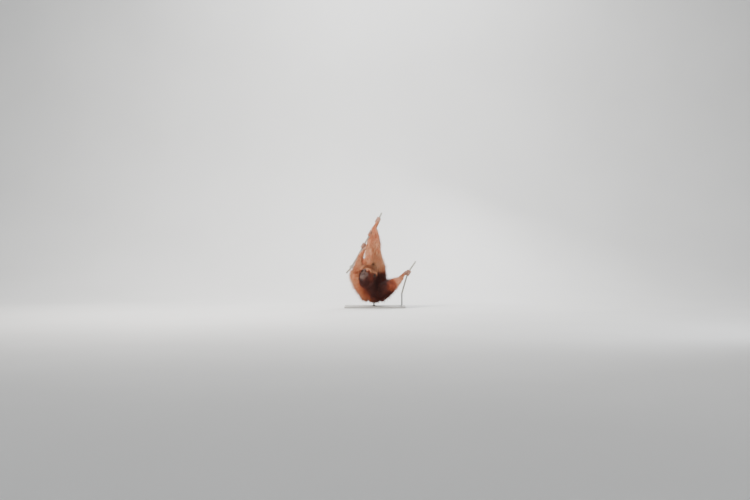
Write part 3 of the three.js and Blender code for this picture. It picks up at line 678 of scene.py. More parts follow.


# The pale stations paint sunlight and shade into the coat. Her forearms, left upper arm, right thigh and
# shanks are painted paler as sunlit. Her left thigh, right shoulder, girdle, neck, the trunk's top and the
# hips' left side are painted darker as shaded.
fleshes = {
    "trunk": Flesh(trunk, -1, (116, 122, 116, 108), 2.5, 0.26, 0.4, (0.44, 0.42, 0.38, 0.3)),
    "girdle": Flesh(girdle, 0, (108, 112, 108), 2.5, 0.28, 0.5, (0.32, 0.26, 0.5)),
    "hips": Flesh(hips, 0, (92, 112, 98), 2.5, 0.28, 0.5, (0.62, 0.42, 0.3)),
    "neck": Flesh(neck, -1, (105, 80, 60), 2.3, 0.3, 0.45, (0.4, 0.35, 0.3)),
}
for limb_name, *growth in (
    ("upper_arm_left", -0.4, (100, 84, 62), 2.2, 0.12, 0.9, (0.6, 0.86, 0.84)),
    ("upper_arm_right", -0.4, (96, 50, 34), 2.2, 0.12, 0.9, (0.3, 0.5, 0.82)),
    ("forearm_left", -1, (74, 78, 72, 56), 2.0, 0.2, 0.25, (0.74, 0.7, 0.7, 0.72)),
    ("forearm_right", -1, (44, 70, 64, 42), 2.0, 0.15, 0.25, (0.9, 0.9, 0.84, 0.74)),
    ("thigh_left", 1, (108, 106, 84), 2.4, 0.28, 0.6, (0.28, 0.14, 0.26)),
    ("thigh_right", 1, (104, 106, 84), 2.4, 0.28, 0.6, (0.62, 0.7, 0.76)),
    ("shank_left", 1, (80, 72, 58, 36), 2.1, 0.22, 0.5, (0.66, 0.76, 0.8, 0.8)),
    ("shank_right", 1, (80, 72, 56, 34), 2.1, 0.2, 0.5, (0.78, 0.8, 0.8, 0.78)),
):
    fleshes[limb_name] = Flesh(limbs[limb_name], *growth)


def eased(values, share):
    """A value along a length of flesh, from its even stations."""
    return np.interp(share, np.linspace(0, 1, len(values)), values)


def survey(p, normal):
    """For each place on the body, the blend of what its nearest lengths of flesh say."""
    shares, reaches = zip(*(f.tube.nearest(p) for f in fleshes.values()))
    reach = np.array(reaches)
    owner, _ = hand_of(p)
    for k, name in enumerate(grasps):
        end = name.replace("hand", "forearm").replace("foot", "shank")
        reach[list(fleshes).index(end), owner == k] = 0
    weight = np.exp(-9 * (reach - reach.min(axis=0)))
    weight /= weight.sum(axis=0)
    facts = {key: np.zeros(len(p)) for key in ("long", "wide", "lift", "fall", "pale")}
    lie = np.zeros((len(p), 3))
    part = {}
    for (name, f), share, w in zip(fleshes.items(), shares, weight):
        row = np.clip(np.round(share * f.tube.rows).astype(int), 0, f.tube.rows)
        lie += f.tube.along[row] * f.flow * w[:, None]
        lie += DOWN * (f.flow == 0) * w[:, None]
        facts["long"] += eased(f.long, share) * w
        facts["wide"] += f.wide * w
        facts["lift"] += f.lift * w
        facts["fall"] += f.fall * w
        facts["pale"] += eased(f.pale, share) * w
        part[name] = w
    facts["lie"] = lie
    facts["part"] = part
    facts["share"] = dict(zip(fleshes, shares))
    return facts


CROWN = np.array((-30.0, 0.0, 92.0))
LOWEST_HAIR = 0.042


def ear_spread(q):
    """How far out from the middle of an ear each place lies, 1 at its rim."""
    return np.hypot((q[:, 0] - EAR_AT[0] + 3) / EAR_WIDE, (q[:, 2] - EAR_AT[2]) / EAR_HIGH)


def survey_head(q):
    """Where the face is bare, and the lie and length of the hair elsewhere on the head."""
    x, y, z = q.T
    side = np.abs(y)
    face = np.hypot(side / 50, (z + 16) / 70)
    bare = ramp(face, 1.12, 0.95) * ramp(x, 34, 50)
    lie = q - CROWN
    lie = unit(lie) * (1, 1, 1) + np.column_stack((0.25 * ramp(z, 20, 70), 0 * y, -0.5 * ramp(z, 60, 10)))
    beard = ramp(z, -50, -84)
    lie = lie * (1 - beard)[:, None] + np.array((0.35, 0, -1)) * beard[:, None]
    cheek = ramp(side, 40, 60) * ramp(z, 40, 0)
    lie += np.column_stack((-0.5 * cheek, 0.25 * np.sign(y) * cheek, -0.5 * cheek))
    long = 56 - 14 * ramp(x, 20, 70) * ramp(z, 30, 60) + 16 * ramp(z, 20, -60) + 8 * beard
    edge = ramp(face, 1.4, 0.95) * ramp(x, 20, 50)
    long = long * (1 - 0.62 * edge)
    near_ear = np.linalg.norm(np.column_stack((x, side, z)) - EAR_AT, axis=1)
    ear = ramp(ear_spread(q), 1.2, 1.05) * ramp(side, 65, 68)
    return bare, lie, long * (1 - 0.4 * ramp(near_ear, 60, 30)), ear


def hand_of(p):
    """Per place: which grasp it lies on, or -1, and how far from the wrist."""
    owner = np.full(len(p), -1)
    along = np.full(len(p), -1.0)
    for k, grasp in enumerate(grasps.values()):
        ends = np.array((grasp.wrist, grasp.grip.middle))
        near = cord_distance(p, ends, (0, 0)) < 0.082
        past = (p - grasp.wrist) @ unit(grasp.grip.middle - grasp.wrist)
        mine = near & (past > -0.012)
        owner[mine] = k
        along[mine] = past[mine]
    return owner, along


def coat_tone_and_painted_light(p, normal):
    """How pale and how dark the coat and skin are at each place, 0 dark maroon, 1 pale orange: the coat's
    own tone with painted sunlight and painted shade, painted shade on the front of the body and the lap, a
    darker belly, and on the head a crown painted pale as sunlit over sides in painted shade.
    """
    facts = survey(p, normal)
    part = facts["part"]
    body = part["trunk"] + part["girdle"] + part["neck"]
    # Painted shade darkens the front of the body and the lap. The belly is darker partly for its own dark,
    # sparsely haired skin and partly as painted shade.
    front = ramp(-normal[:, 1], 0.05, 0.75)
    belly = body * front * ramp(p[:, 2], 0.60, 0.52) * (1 - 0.6 * ramp(p[:, 0], 0.03, 0.09))
    lap_painted_shade = (part["thigh_left"] + part["hips"]) * ramp(-normal[:, 1], -0.6, 0.0)
    lap_painted_shade = lap_painted_shade * ramp(p[:, 0], 0.25, 0.20) * ramp(p[:, 0], -0.09, -0.03)
    pale = facts["pale"] - 0.12 * body * front - 0.3 * belly - 0.2 * lap_painted_shade
    q = to_head(p)
    on_head = ramp(np.linalg.norm(q - HEAD_CORE, axis=1), 126, 108)
    # The head's coat: the crown painted pale as sunlit, the sides painted dark as shaded, and darker
    # towards the chin as painted shade under it.
    head_painted_sun_and_shade = 0.1 + 0.95 * ramp(q[:, 2], 20, 52) - 0.1 * ramp(q[:, 2], -40, -90)
    pale = pale * (1 - on_head) + head_painted_sun_and_shade * on_head
    return np.clip(pale, 0, 1), belly, on_head, facts


def soft_noise(p, scale, seed):
    """A smooth seeded noise about 0, from a few waves of mixed ways."""
    draw = np.random.default_rng(seed)
    total = np.zeros(len(p))
    for k in range(7):
        way = unit(draw.normal(size=3))
        total += np.sin(p @ way * 2 * math.pi / scale * draw.uniform(0.6, 1.7) + draw.uniform(0, 7))
    return total / 3.5


class Roots:
    """Places on the skin where tufts grow, with all that shapes them."""

    def __init__(self, skin, count, fine):
        self.fine = fine
        mesh = skin.data
        mesh.calc_loop_triangles()
        co = places(skin)
        corner = read(mesh.loop_triangles, "vertices", 3, int)
        loop = read(mesh.loop_triangles, "loops", 3, int)
        a, b, c = (co[corner[:, k]] for k in range(3))
        across = np.cross(b - a, c - a)
        share = np.linalg.norm(across, axis=1) / 2 * self.density((a + b + c) / 3, unit(across))
        share /= share.sum()
        face = np.sort(chance.choice(len(share), count, p=share))
        w = chance.dirichlet((1, 1, 1), count)[:, :, None]
        self.p = (co[corner[face]] * w).sum(axis=1)
        self.normal = unit((read(mesh.vertices, "normal", 3)[corner[face]] * w).sum(axis=1))
        self.uv = (read(mesh.uv_layers.active.data, "uv", 2)[loop[face]] * w).sum(axis=1)
        self.settle()

    def density(self, p, normal):
        """How thick the tufts stand, for the body's coat or for the fine hair of head, hands and feet."""
        owner, along = hand_of(p)
        _, belly, on_head, _ = coat_tone_and_painted_light(p, normal)
        hand = owner >= 0
        if not self.fine:
            return (1 - 0.45 * belly) * (1 - on_head) * np.where(hand, ramp(along, 0.035, 0.005), 1)
        bare, _, _, ear = survey_head(to_head(p))
        on_face = on_head * (1 - bare) * (1 - ear)
        round_wrist = ramp(along, 0.045, 0.02)
        back = back_of_hand(p, normal, owner) * ramp(along, 0.105, 0.07)
        return np.where(hand, 0.75 * np.maximum(back, round_wrist), on_face)

    def settle(self):
        p, normal = self.p, self.normal
        count = len(p)
        owner, along = hand_of(p)
        pale, belly, on_head, facts = coat_tone_and_painted_light(p, normal)
        bare, head_lie, head_long, _ = survey_head(to_head(p))
        lie = facts["lie"] + DOWN * facts["fall"][:, None]
        long = facts["long"] * (1 - 0.55 * belly)
        wide = facts["wide"] * (1 - 0.25 * belly)
        lift = facts["lift"]
        fall = facts["fall"]
        head_lie = unit(head_lie) @ HEAD_TURN.T
        h = on_head
        lie = lie * (1 - h)[:, None] + head_lie * h[:, None]
        long = long * (1 - h) + head_long * h
        wide = wide * (1 - h) + 1.5 * h
        crown = ramp(to_head(p)[:, 2], 48, 84)
        lift = lift * (1 - h) + (0.3 + 0.7 * crown) * h
        fall = fall * (1 - h) + (0.25 - 0.2 * crown) * h
        part = facts["part"]
        inner = (part["forearm_right"] + part["upper_arm_right"]) * ramp(normal[:, 0], 0.1, 0.7)
        inner += (part["forearm_left"] + part["upper_arm_left"]) * ramp(-normal[:, 0], 0.1, 0.7)
        inner = inner * ramp(p[:, 2], 0.96, 0.88)
        wisp = (chance.random(count) < 0.1) * (1 - h)
        long = long * (1 + 0.25 * wisp) + 22 * inner
        lift = lift + 0.3 * wisp + 0.22 * inner
        hand = ramp(along, -0.012, 0.03) * (owner >= 0)
        long = long * (1 - hand) + (26 - 14 * ramp(along, 0.02, 0.07)) * hand
        wide = wide * (1 - hand) + 1.3 * hand
        lift = lift * (1 - hand) + 0.1 * hand
        for k, grasp in enumerate(grasps.values()):
            mine = (owner == k)[:, None]
            way = unit(grasp.grip.middle - grasp.wrist)
            lie = np.where(mine, way if grasp.foot else -way, lie)
        lie = unit(lie) + 0.15 * chance.normal(size=lie.shape)
        lie = lie - normal * (lie * normal).sum(axis=1)[:, None]
        long = np.minimum(long, (p[:, 2] - LOWEST_HAIR) / MM)
        vary = chance.uniform(0.78, 1.12, count)
        self.lie = unit(lie)
        self.long = long * vary * MM
        self.wide = wide * chance.uniform(0.75, 1.25, count) * MM
        self.lift = lift
        self.fall = fall
        self.pale = np.clip(pale + 0.10 * soft_noise(p, 0.22, 3) + chance.normal(0, 0.05, count), 0, 1)


def back_of_hand(p, normal, owner):
    """1 where a place on a hand or foot lies on its back and not in its palm."""
    out = np.zeros(len(p))
    for k, grasp in enumerate(grasps.values()):
        mine = owner == k
        out[mine] = ramp(normal[mine] @ grasp.grip.palm, -0.55, 0.1)
    return out


def grow(roots, tree, steps):
    """The paths of the tufts: rows of places from the sunk root to the tip, kept outside the skin."""
    step = roots.long / steps
    way = unit(roots.lie + roots.normal * roots.lift[:, None] * 2.2)
    p = roots.p.copy()
    rows = [roots.p - roots.normal * 0.0035]
    for k in range(1, steps + 1):
        share = k / steps
        p = p + way * step[:, None]
        clear = 0.0015 + 0.010 * roots.lift * share + 0.002 * share
        found = [tree.find_nearest(Vector(x)) for x in p]
        hit = np.array([tuple(f[0]) for f in found])
        out = np.array([tuple(f[1]) for f in found])
        depth = ((p - hit) * out).sum(axis=1)
        push = np.maximum(clear - depth, 0)
        p = p + out * push[:, None]
        rows.append(p)
        way = unit(p - rows[-2] if k > 1 else p - roots.p)
        near = ramp(depth, 0.045, 0.005)[:, None]
        lie = roots.lie - out * (roots.lie * out).sum(axis=1)[:, None]
        way = way + 0.35 * near * unit(lie) + DOWN * (0.42 * roots.fall[:, None])
        way = unit(way)
    return np.stack(rows, axis=1)


CLUMPING = 0.75


def clumped(roots, paths, guides):
    """Draws the tufts together towards the nearest of the guides, more so at their tips. Gives their paths
    and how pale each one is."""
    picks = chance.choice(len(roots.p), guides, replace=False)
    tree = KDTree(guides)
    for i, guide in enumerate(picks):
        tree.insert(roots.p[guide], i)
    tree.balance()
    owner = np.array([picks[tree.find(Vector(x))[1]] for x in roots.p])
    share = np.linspace(0, 1, paths.shape[1])[None, :, None]
    near = np.linalg.norm(roots.p - roots.p[owner], axis=1)
    mood = chance.normal(0, 0.06, len(roots.p))
    hold = (CLUMPING * ramp(near, 0.045, 0.012) * chance.uniform(0.55, 1, len(owner)))[:, None, None]
    alike = ((roots.lie * roots.lie[owner]).sum(axis=1) > 0.5)[:, None, None]
    draw = hold * share**1.6 * alike
    offset = paths - paths[:, :1]
    lead = paths[owner] - paths[owner][:, :1]
    scale = (roots.long / roots.long[owner])[:, None, None]
    goal = paths[:, :1] + (roots.p[owner] - roots.p)[:, None, :] + lead * scale
    tone = np.clip(roots.pale * 0.6 + roots.pale[owner] * 0.4 + mood[owner], 0, 1)
    return paths + (goal - paths) * draw, tone


def waved(paths, roots):
    """Adds each tuft's own slow wave."""
    count, rows, _ = paths.shape
    share = np.linspace(0, 1, rows)
    along = unit(paths[:, -1] - paths[:, 0])
    side = unit(np.cross(along, roots.normal))
    size = (chance.normal(0, 0.035, count) * roots.long)[:, None]
    phase = chance.uniform(0, 2 * math.pi, count)[:, None]
    wave = size * np.sin(share[None, :] * 4.2 + phase) * share[None, :]
    return paths + side[:, None, :] * wave[:, :, None]


TUFT_WIDTH = (0.75, 1.0, 0.85, 0.5)
TUFT_THICK = 0.34


def blades(name, paths, roots, index, tone):
    """One closed mesh of thin, three-sided tapered tufts along the paths, with the map for its colours."""
    paths = paths[index]
    wide = roots.wide[index] / 2
    count, rows, _ = paths.shape
    rings = rows - 1
    along = unit(np.gradient(paths, axis=1))
    normal = roots.normal[index][:, None, :]
    side = unit(np.cross(along, normal) + 1e-6)
    up = unit(np.cross(side, along))
    roll = chance.uniform(-0.5, 0.5, count)[:, None, None]
    side, up = side * np.cos(roll) + up * np.sin(roll), up * np.cos(roll) - side * np.sin(roll)
    width = np.interp(np.linspace(0, 1, rings), np.linspace(0, 1, len(TUFT_WIDTH)), TUFT_WIDTH)
    width = (wide[:, None] * width[None, :])[:, :, None]
    body = paths[:, :rings]
    s = side[:, :rings] * width
    u = up[:, :rings] * width * TUFT_THICK
    ring = np.stack((body - s - u * 0.5, body + s - u * 0.5, body + u), axis=2)
    co = np.concatenate((ring.reshape(count, -1, 3), paths[:, -1:]), axis=1)
    per = rings * 3 + 1
    faces = [(0, 2, 1)]
    for r in range(rings - 1):
        for k in range(3):
            a, b = r * 3 + k, r * 3 + (k + 1) % 3
            faces += [(a, b, b + 3), (a, b + 3, a + 3)]
    last = (rings - 1) * 3
    faces += [(last + k, last + (k + 1) % 3, per - 1) for k in range(3)]
    faces = np.array(faces)
    corner = (faces[None] + (np.arange(count) * per)[:, None, None]).reshape(-1)
    mesh = bpy.data.meshes.new(name)
    mesh.vertices.add(count * per)
    mesh.vertices.foreach_set("co", co.ravel())
    mesh.loops.add(len(corner))
    mesh.loops.foreach_set("vertex_index", corner)
    total = len(corner) // 3
    mesh.polygons.add(total)
    mesh.polygons.foreach_set("loop_start", np.arange(0, len(corner), 3))
    mesh.polygons.foreach_set("loop_total", np.full(total, 3))
    mesh.update(calc_edges=True)
    mesh.polygons.foreach_set("use_smooth", np.ones(total, bool))
    share = np.append(np.repeat(np.linspace(0, 0.9, rings), 3), 1)
    write_attribute(mesh, "along", np.tile(share, count))
    write_attribute(mesh, "pale", np.repeat(tone[index], per))
    write_attribute(mesh, "turn", np.repeat(chance.uniform(0, 1, count), per))
    third = np.append(np.tile((0, 0.5, 1), rings), 0.5)
    spot = np.column_stack((third - 0.5, share - 0.5)) * 0.003
    layer = mesh.uv_layers.new(name="OFBake")
    uv = (roots.uv[index][:, None, :] + spot[None]).reshape(-1, 2)
    layer.data.foreach_set("uv", uv[corner].ravel())
    obj = bpy.data.objects.new(name, mesh)
    bpy.context.scene.collection.objects.link(obj)
    return obj


def write_attribute(mesh, name, values):
    layer = mesh.attributes.new(name, "FLOAT", "POINT")
    layer.data.foreach_set("value", np.ascontiguousarray(values, np.float32))


def unwrap(obj):
    """Lays the skin's own surface out flat."""
    pick(obj)
    obj.data.uv_layers.new(name="OFBake")
    bpy.ops.object.mode_set(mode="EDIT")
    bpy.ops.mesh.select_all(action="SELECT")
    bpy.ops.uv.smart_project(angle_limit=math.radians(66), island_margin=0.003)
    bpy.ops.object.mode_set(mode="OBJECT")


TUFTS = 54000
FINE_TUFTS = 17000
TUFTS_A_GUIDE = 13
PIECE_TRIANGLES = 195000


def grow_coat():
    unwrap(skin)
    tree = BVHTree.FromObject(skin, bpy.context.evaluated_depsgraph_get())
    pieces = []
    for name, count, fine, steps in (("coat", TUFTS, False, 4), ("fine_coat", FINE_TUFTS, True, 3)):
        roots = Roots(skin, count, fine)
        paths = grow(roots, tree, steps)
        paths, tone = clumped(roots, paths, count // TUFTS_A_GUIDE)
        paths = waved(paths, roots)
        order = np.argsort(-roots.p[:, 2])
        share = PIECE_TRIANGLES // (6 * steps - 2)
        for k, start in enumerate(range(0, count, share)):
            pieces.append(blades(f"{name}_{k + 1}", paths, roots, order[start : start + share], tone))
    return pieces


coat = grow_coat()


# Eyes: one ball with a bulging front, coloured by how far each place lies from where she looks
GAZE = unit(np.array((1.0, 0.06, -0.04)))


def eye_piece(name, side):
    obj = ball(name, 48, 40)
    local = places(obj)[:, [2, 0, 1]]
    gaze = GAZE * (1, side, 1)
    up = unit(np.cross(gaze, (0, 1, 0)))
    left = np.cross(up, gaze)
    angle = np.degrees(np.arccos(np.clip(local[:, 0], -1, 1)))
    bulge = 1 + 0.055 * ramp(angle, 36, 16)
    turn = np.column_stack((gaze, left, up))
    put(obj, from_head(EYE * (1, side, 1) + (local * bulge[:, None] * EYE_RADIUS * 0.985) @ turn.T))
    write_attribute(obj.data, "ring", angle / 90)
    smooth(obj)
    return obj


eyes = [eye_piece("eyeball_left", 1), eye_piece("eyeball_right", -1)]


def nail_piece(name):
    """All nails of the fingers and toes: small curved plates on the outer side of each tip."""
    plates = []
    for grasp in grasps.values():
        for digit in grasp.digits:
            tip, way = digit.middle[-1], digit.along[-1]
            radius = digit.sizes[-1].mean()
            rope_way = grasp.grip.way
            axis = grasp.grip.middle + rope_way * (tip - grasp.grip.middle).dot(rope_way)
            out = unit(tip - axis)
            side = unit(np.cross(way, out))
            plate = ball("nail", 12, 8)
            co = places(plate)
            long, wide, thick = radius * 0.95, radius * 0.72, radius * 0.24
            bow = -0.35 * (co[:, 0] ** 2) * wide
            put(
                plate,
                tip
                + out * radius * 0.88
                + way * radius * 0.18
                + side * (co[:, 0] * wide)[:, None]
                + way * (co[:, 1] * long)[:, None]
                + out * (co[:, 2] * thick + bow)[:, None],
            )
            outwards(plate)
            plates.append(plate)
    nails = joined(plates, name)
    smooth(nails)
    return nails


nails = nail_piece("nails")

# Ropes: three strands laid round each other
STRAND_OFF = 0.0058
STRAND_RADIUS = 0.0064
LAY_LENGTH = 0.085
STRAND_ROW = 0.0045
COIL_RADIUS, COIL_LENGTH, COIL_TURNS, COIL_SIZE = 0.0165, 0.031, 3.2, 0.0055
CROSS_RADIUS, CROSS_TILT, CROSS_TURNS, CROSS_SIZE = 0.0205, 0.012, 1.05, 0.0048


def strand(name, points, turn=0, off=STRAND_OFF, radius=STRAND_RADIUS):
    """One strand that winds round the path."""
    points = np.array(points)
    length = np.linalg.norm(np.diff(points, axis=0), axis=1).sum()
    rows = int(length / STRAND_ROW)
    t = np.linspace(0, 1, rows + 1)
    middle = smooth_path(points, t)
    along = unit(np.gradient(middle, axis=0))
    run = np.append(0, np.cumsum(np.linalg.norm(np.diff(middle, axis=0), axis=1)))
    side = np.array((0.0, 1.0, 0.0))
    side = unit(side - along * (along @ side)[:, None])
    up = np.cross(along, side)
    angle = run / LAY_LENGTH * 2 * math.pi + turn
    centre = middle + (side * np.cos(angle)[:, None] + up * np.sin(angle)[:, None]) * off
    tube = Tube([(centre[0], radius), (centre[-1], radius)], rows=rows)
    tube.middle = centre
    tube.sizes = np.full((rows + 1, 2), radius)
    tube.along = unit(np.gradient(centre, axis=0))
    tube.wide = unit(side - tube.along * (tube.along * side).sum(axis=1)[:, None])
    tube.deep = np.cross(tube.along, tube.wide)
    return tube_piece(tube, name, sides=14, caps=4)


def laid_rope(name, points, knot=()):
    strands = [strand("strand", points, k * 2 * math.pi / 3) for k in range(3)]
    whole = joined([*strands, *knot], name)
    smooth(whole)
    return whole


def knot_wraps():
    """The knot: turns wound close round the rope and one that crosses them."""
    way = unit(ROPE_WAY - ROPE_LOW_WAY)
    side = np.array((0.0, 1.0, 0.0))
    up = np.cross(way, side)

    def ring(angle):
        return side * np.cos(angle)[:, None] + up * np.sin(angle)[:, None]

    t = np.linspace(0, 1, 40)
    turns = ring(t * 2 * math.pi * COIL_TURNS) * COIL_RADIUS
    coil = KNOT + way * ((t - 0.5) * COIL_LENGTH)[:, None] + turns
    angle = np.linspace(0, 1, 24) * 2 * math.pi * CROSS_TURNS + 0.8
    cross = KNOT + ring(angle) * CROSS_RADIUS + way * (np.cos(angle) * CROSS_TILT)[:, None]
    return [strand("wrap", coil, off=0, radius=COIL_SIZE), strand("cross", cross, off=0, radius=CROSS_SIZE)]


main_rope_points = [
    KNOT + ROPE_LOW_WAY * 0.1,
    KNOT,
    on_rope(FOOT_RIGHT_GRIP),
    on_rope(HAND_RIGHT_GRIP),
    on_rope(HAND_LEFT_GRIP),
    on_rope(HAND_LEFT_GRIP) + ROPE_TOP_WAY * 0.104,
]
side_low = SIDE_GRIP + SIDE_DOWN * SIDE_BELOW
side_rope_points = [SIDE_GRIP + SIDE_UP * 0.178, SIDE_GRIP, side_low + SIDE_DOWN * 0.01]
ropes = [
    laid_rope("rope_main", main_rope_points, knot_wraps()),
    laid_rope("rope_side", side_rope_points),
]

# The stand
BASE_WIDE, BASE_DEEP, BASE_THICK, BASE_CORNER, BASE_EDGE = 0.8, 0.44, 0.018, 0.04, 0.0035
ROD_RADIUS = 0.012


def is_upright(a, b):
    """Whether an edge of the base between these two ends stands at a corner."""
    return abs(a[2] - b[2]) > BASE_THICK / 2


def is_upper(a, b):
    """Whether an edge of the base between these two ends runs round its top."""
    return min(a[2], b[2]) > BASE_THICK - 1e-5


def base_piece(name):
    deselect()
    bpy.ops.mesh.primitive_cube_add(size=1, location=(0, 0, BASE_THICK / 2))
    base = added(name)
    base.scale = (BASE_WIDE, BASE_DEEP, BASE_THICK)
    settle(base)
    on_edges(base, is_upright, bpy.ops.mesh.bevel, offset=BASE_CORNER, segments=10, affect="EDGES")
    on_edges(base, is_upper, bpy.ops.mesh.bevel, offset=BASE_EDGE, segments=4, affect="EDGES")
    bpy.ops.object.shade_smooth_by_angle(angle=math.radians(35))
    return base


def rod_piece(name, place, top):
    """A round rod with a turned collar at its foot, made by turning its outline."""
    foot = BASE_THICK
    outline = (
        (0, foot),
        (ROD_RADIUS + 0.0155, foot),
        (ROD_RADIUS + 0.016, foot + 0.0015),
        (ROD_RADIUS + 0.016, foot + 0.0045),
        (ROD_RADIUS + 0.014, foot + 0.006),
        (ROD_RADIUS + 0.003, foot + 0.0085),
        (ROD_RADIUS, foot + 0.0115),
        (ROD_RADIUS, top - 0.002),
        (ROD_RADIUS - 0.002, top),
        (0, top),
    )
    obj = ball(name, 40, len(outline) - 1)
    co = places(obj)
    last = len(outline) - 1
    row = last - np.round(np.arccos(np.clip(co[:, 2], -1, 1)) / math.pi * last).astype(int)
    radius, height = np.array(outline)[row].T
    angle = np.arctan2(co[:, 1], co[:, 0])
    x = place[0] + np.cos(angle) * radius
    y = place[1] + np.sin(angle) * radius
    put(obj, np.column_stack((x, y, height)))
    pick(obj)
    bpy.ops.object.shade_smooth_by_angle(angle=math.radians(35))
    return obj


base = base_piece("display_base")
rods = [
    rod_piece("display_rod_body", at(-14, 36, 0), 0.150),
    rod_piece("display_rod_rope", side_low, side_low[2] + 0.004),
]


# Finishes
class Value:
    """A socket on which sums can be written."""

    def __init__(self, kit, socket):
        self.kit = kit
        self.socket = socket

    def math(self, operation, *others):
        return self.kit.node("ShaderNodeMath", {"operation": operation}, self, *others)

    def __add__(self, other):
        return self.math("ADD", other)

    def __sub__(self, other):
        return self.math("SUBTRACT", other)

    def __mul__(self, other):
        return self.math("MULTIPLY", other)

    __radd__ = __add__
    __rmul__ = __mul__


class Finish:
    """A material and its nodes."""

    def __init__(self, name, **constants):
        self.material = bpy.data.materials.new(name)
        self.material.use_nodes = True
        self.tree = self.material.node_tree
        self.shader = self.tree.nodes["Principled BSDF"]
        for key, value in constants.items():
            self.shader.inputs[key.replace("_", " ")].default_value = value

    def node(self, kind, settings=None, *values, out=0, **named):
        made = self.tree.nodes.new(kind)
        for key, value in (settings or {}).items():
            if key == "stops":
                elements = made.color_ramp.elements
                while len(elements) < len(value):
                    elements.new(0.5)
                for element, (place, colour) in zip(elements, value):
                    element.position = place
                    element.color = (*colour, 1)
            else:
                setattr(made, key, value)
        for k, value in [*enumerate(values), *((k.replace("_", " "), v) for k, v in named.items())]:
            socket = made.inputs[k]
            if isinstance(value, Value):
                self.tree.links.new(value.socket, socket)
            elif value is not None:
                socket.default_value = value
        return Value(self, made.outputs[out])

    def attribute(self, name):
        return self.node("ShaderNodeAttribute", {"attribute_name": name}, out="Fac")

    def noise(self, scale, detail=3, rough=0.55, stretch=None):
        spot = self.node("ShaderNodeTexCoord", out="Object")
        if stretch:
            spot = self.node("ShaderNodeMapping", None, spot, Scale=stretch)
        return self.node("ShaderNodeTexNoise", None, spot, Scale=scale, Detail=detail, Roughness=rough)

    def shades(self, factor, *stops):
        return self.node("ShaderNodeValToRGB", {"stops": stops}, factor)

    def mix(self, factor, a, b):
        """A colour between two others."""
        made = self.tree.nodes.new("ShaderNodeMix")
        made.data_type = "RGBA"
        for socket, value in ((made.inputs[0], factor), (made.inputs[6], a), (made.inputs[7], b)):
            if isinstance(value, Value):
                self.tree.links.new(value.socket, socket)
            else:
                socket.default_value = value if isinstance(value, (int, float)) else (*value, 1)
        return Value(self, made.outputs[2])

    def feed(self, name, value):
        self.tree.links.new(value.socket, self.shader.inputs[name])

    def bump(self, height, strength, distance):
        bent = self.node("ShaderNodeBump", None, Height=height, Strength=strength, Distance=distance)
        self.feed("Normal", bent)

    def onto(self, *objects):
        for obj in objects:
            obj.data.materials.clear()
            obj.data.materials.append(self.material)


def tint(red, green, blue):
    """A colour as seen on a screen, 0 to 255, as a light value."""
    def channel(c):
        return c / 12.92 if c <= 0.04045 else ((c + 0.055) / 1.055) ** 2.4

    return tuple(channel(c / 255) for c in (red, green, blue))


# The coat's scale: the dark end serves the belly's own dark and the painted shade, the pale end the pale
# tips and the painted sunlight.
HAIR_DARK = tint(48, 20, 17)
HAIR_DEEP = tint(104, 40, 24)
HAIR_MID = tint(176, 82, 46)
HAIR_PALE = tint(220, 134, 88)
HAIR_TIP = tint(240, 182, 140)


def hair_colour(f, pale):
    """The coat's colour where it is that pale, 0 dark maroon to 1 pale orange."""
    dark = ((0.0, HAIR_DARK), (0.28, HAIR_DEEP))
    return f.shades(pale, *dark, (0.55, HAIR_MID), (0.8, HAIR_PALE), (1.0, HAIR_TIP))


def coat_finish():
    f = Finish("coat_hair", Roughness=0.62, Specular_IOR_Level=0.3, Sheen_Weight=0.12, Sheen_Roughness=0.5)
    along = f.attribute("along")
    turn = f.attribute("turn")
    # The 'pale' attribute carries the coat's own tone together with painted sunlight and painted shade;
    # darker at the roots, paler at the tips.
    pale = f.attribute("pale") + along * 0.3 + turn * 0.2 - 0.23
    patches = f.noise(9, 3) - 0.5
    f.feed("Base Color", hair_colour(f, pale + patches * 0.22))
    return f


def skin_finish():
    f = Finish("bare_skin_finish", Roughness=0.6, Specular_IOR_Level=0.25, Subsurface_Weight=0.0)
    bare = f.attribute("bare")
    pale = f.attribute("pale")
    fine = f.noise(260, 5, 0.6)
    blotch = f.noise(30, 4, 0.6)
    # face_tone holds painted shade in the eye sockets, round the nostrils, under the chin, in the lid
    # creases, in the ear bowls and between the digits, and a painted highlight on the forehead.
    face = f.shades(
        f.attribute("face_tone") + (blotch - 0.5) * 0.3,
        (0.0, tint(28, 19, 18)),
        (0.4, tint(78, 58, 52)),
        (0.75, tint(124, 96, 86)),
        (1.0, tint(194, 142, 116)),
    )
    under = f.mix(0.35, hair_colour(f, pale), tint(60, 34, 28))
    f.feed("Base Color", f.mix(bare, under, face))
    f.feed("Roughness", fine * 0.25 + 0.42)
    pores = f.noise(620, 4, 0.65)
    run = f.attribute("run")
    joint = (run * 190).math("COSINE") * 0.5 + 0.5
    crease = (run * 2300 + fine * 6).math("SINE") * joint * 0.9
    f.bump(pores + fine * 0.8 + blotch * 0.4 + crease, 0.4, 0.0009)
    return f


def eye_finish():
    f = Finish("eye_finish", Roughness=0.06, Coat_Weight=1.0, Coat_Roughness=0.02)
    ring = f.attribute("ring")
    speck = (f.noise(900, 3) - 0.5) * 0.05
    f.feed(
        "Base Color",
        f.shades(
            ring + speck * 0.4,
            (0.0, tint(4, 3, 3)),
            (0.13, tint(6, 4, 3)),
            (0.16, tint(58, 30, 14)),
            (0.32, tint(74, 40, 18)),
            (0.37, tint(20, 10, 7)),
            (0.44, tint(58, 38, 30)),
            (1.0, tint(92, 66, 54)),
        ),
    )
    return f


def nail_finish():
    f = Finish("nail_finish", Roughness=0.35)
    f.feed("Base Color", f.shades(f.noise(160, 3), (0.3, tint(40, 30, 27)), (0.7, tint(78, 60, 52))))
    f.bump(f.noise(400, 3), 0.2, 0.0004)
    return f


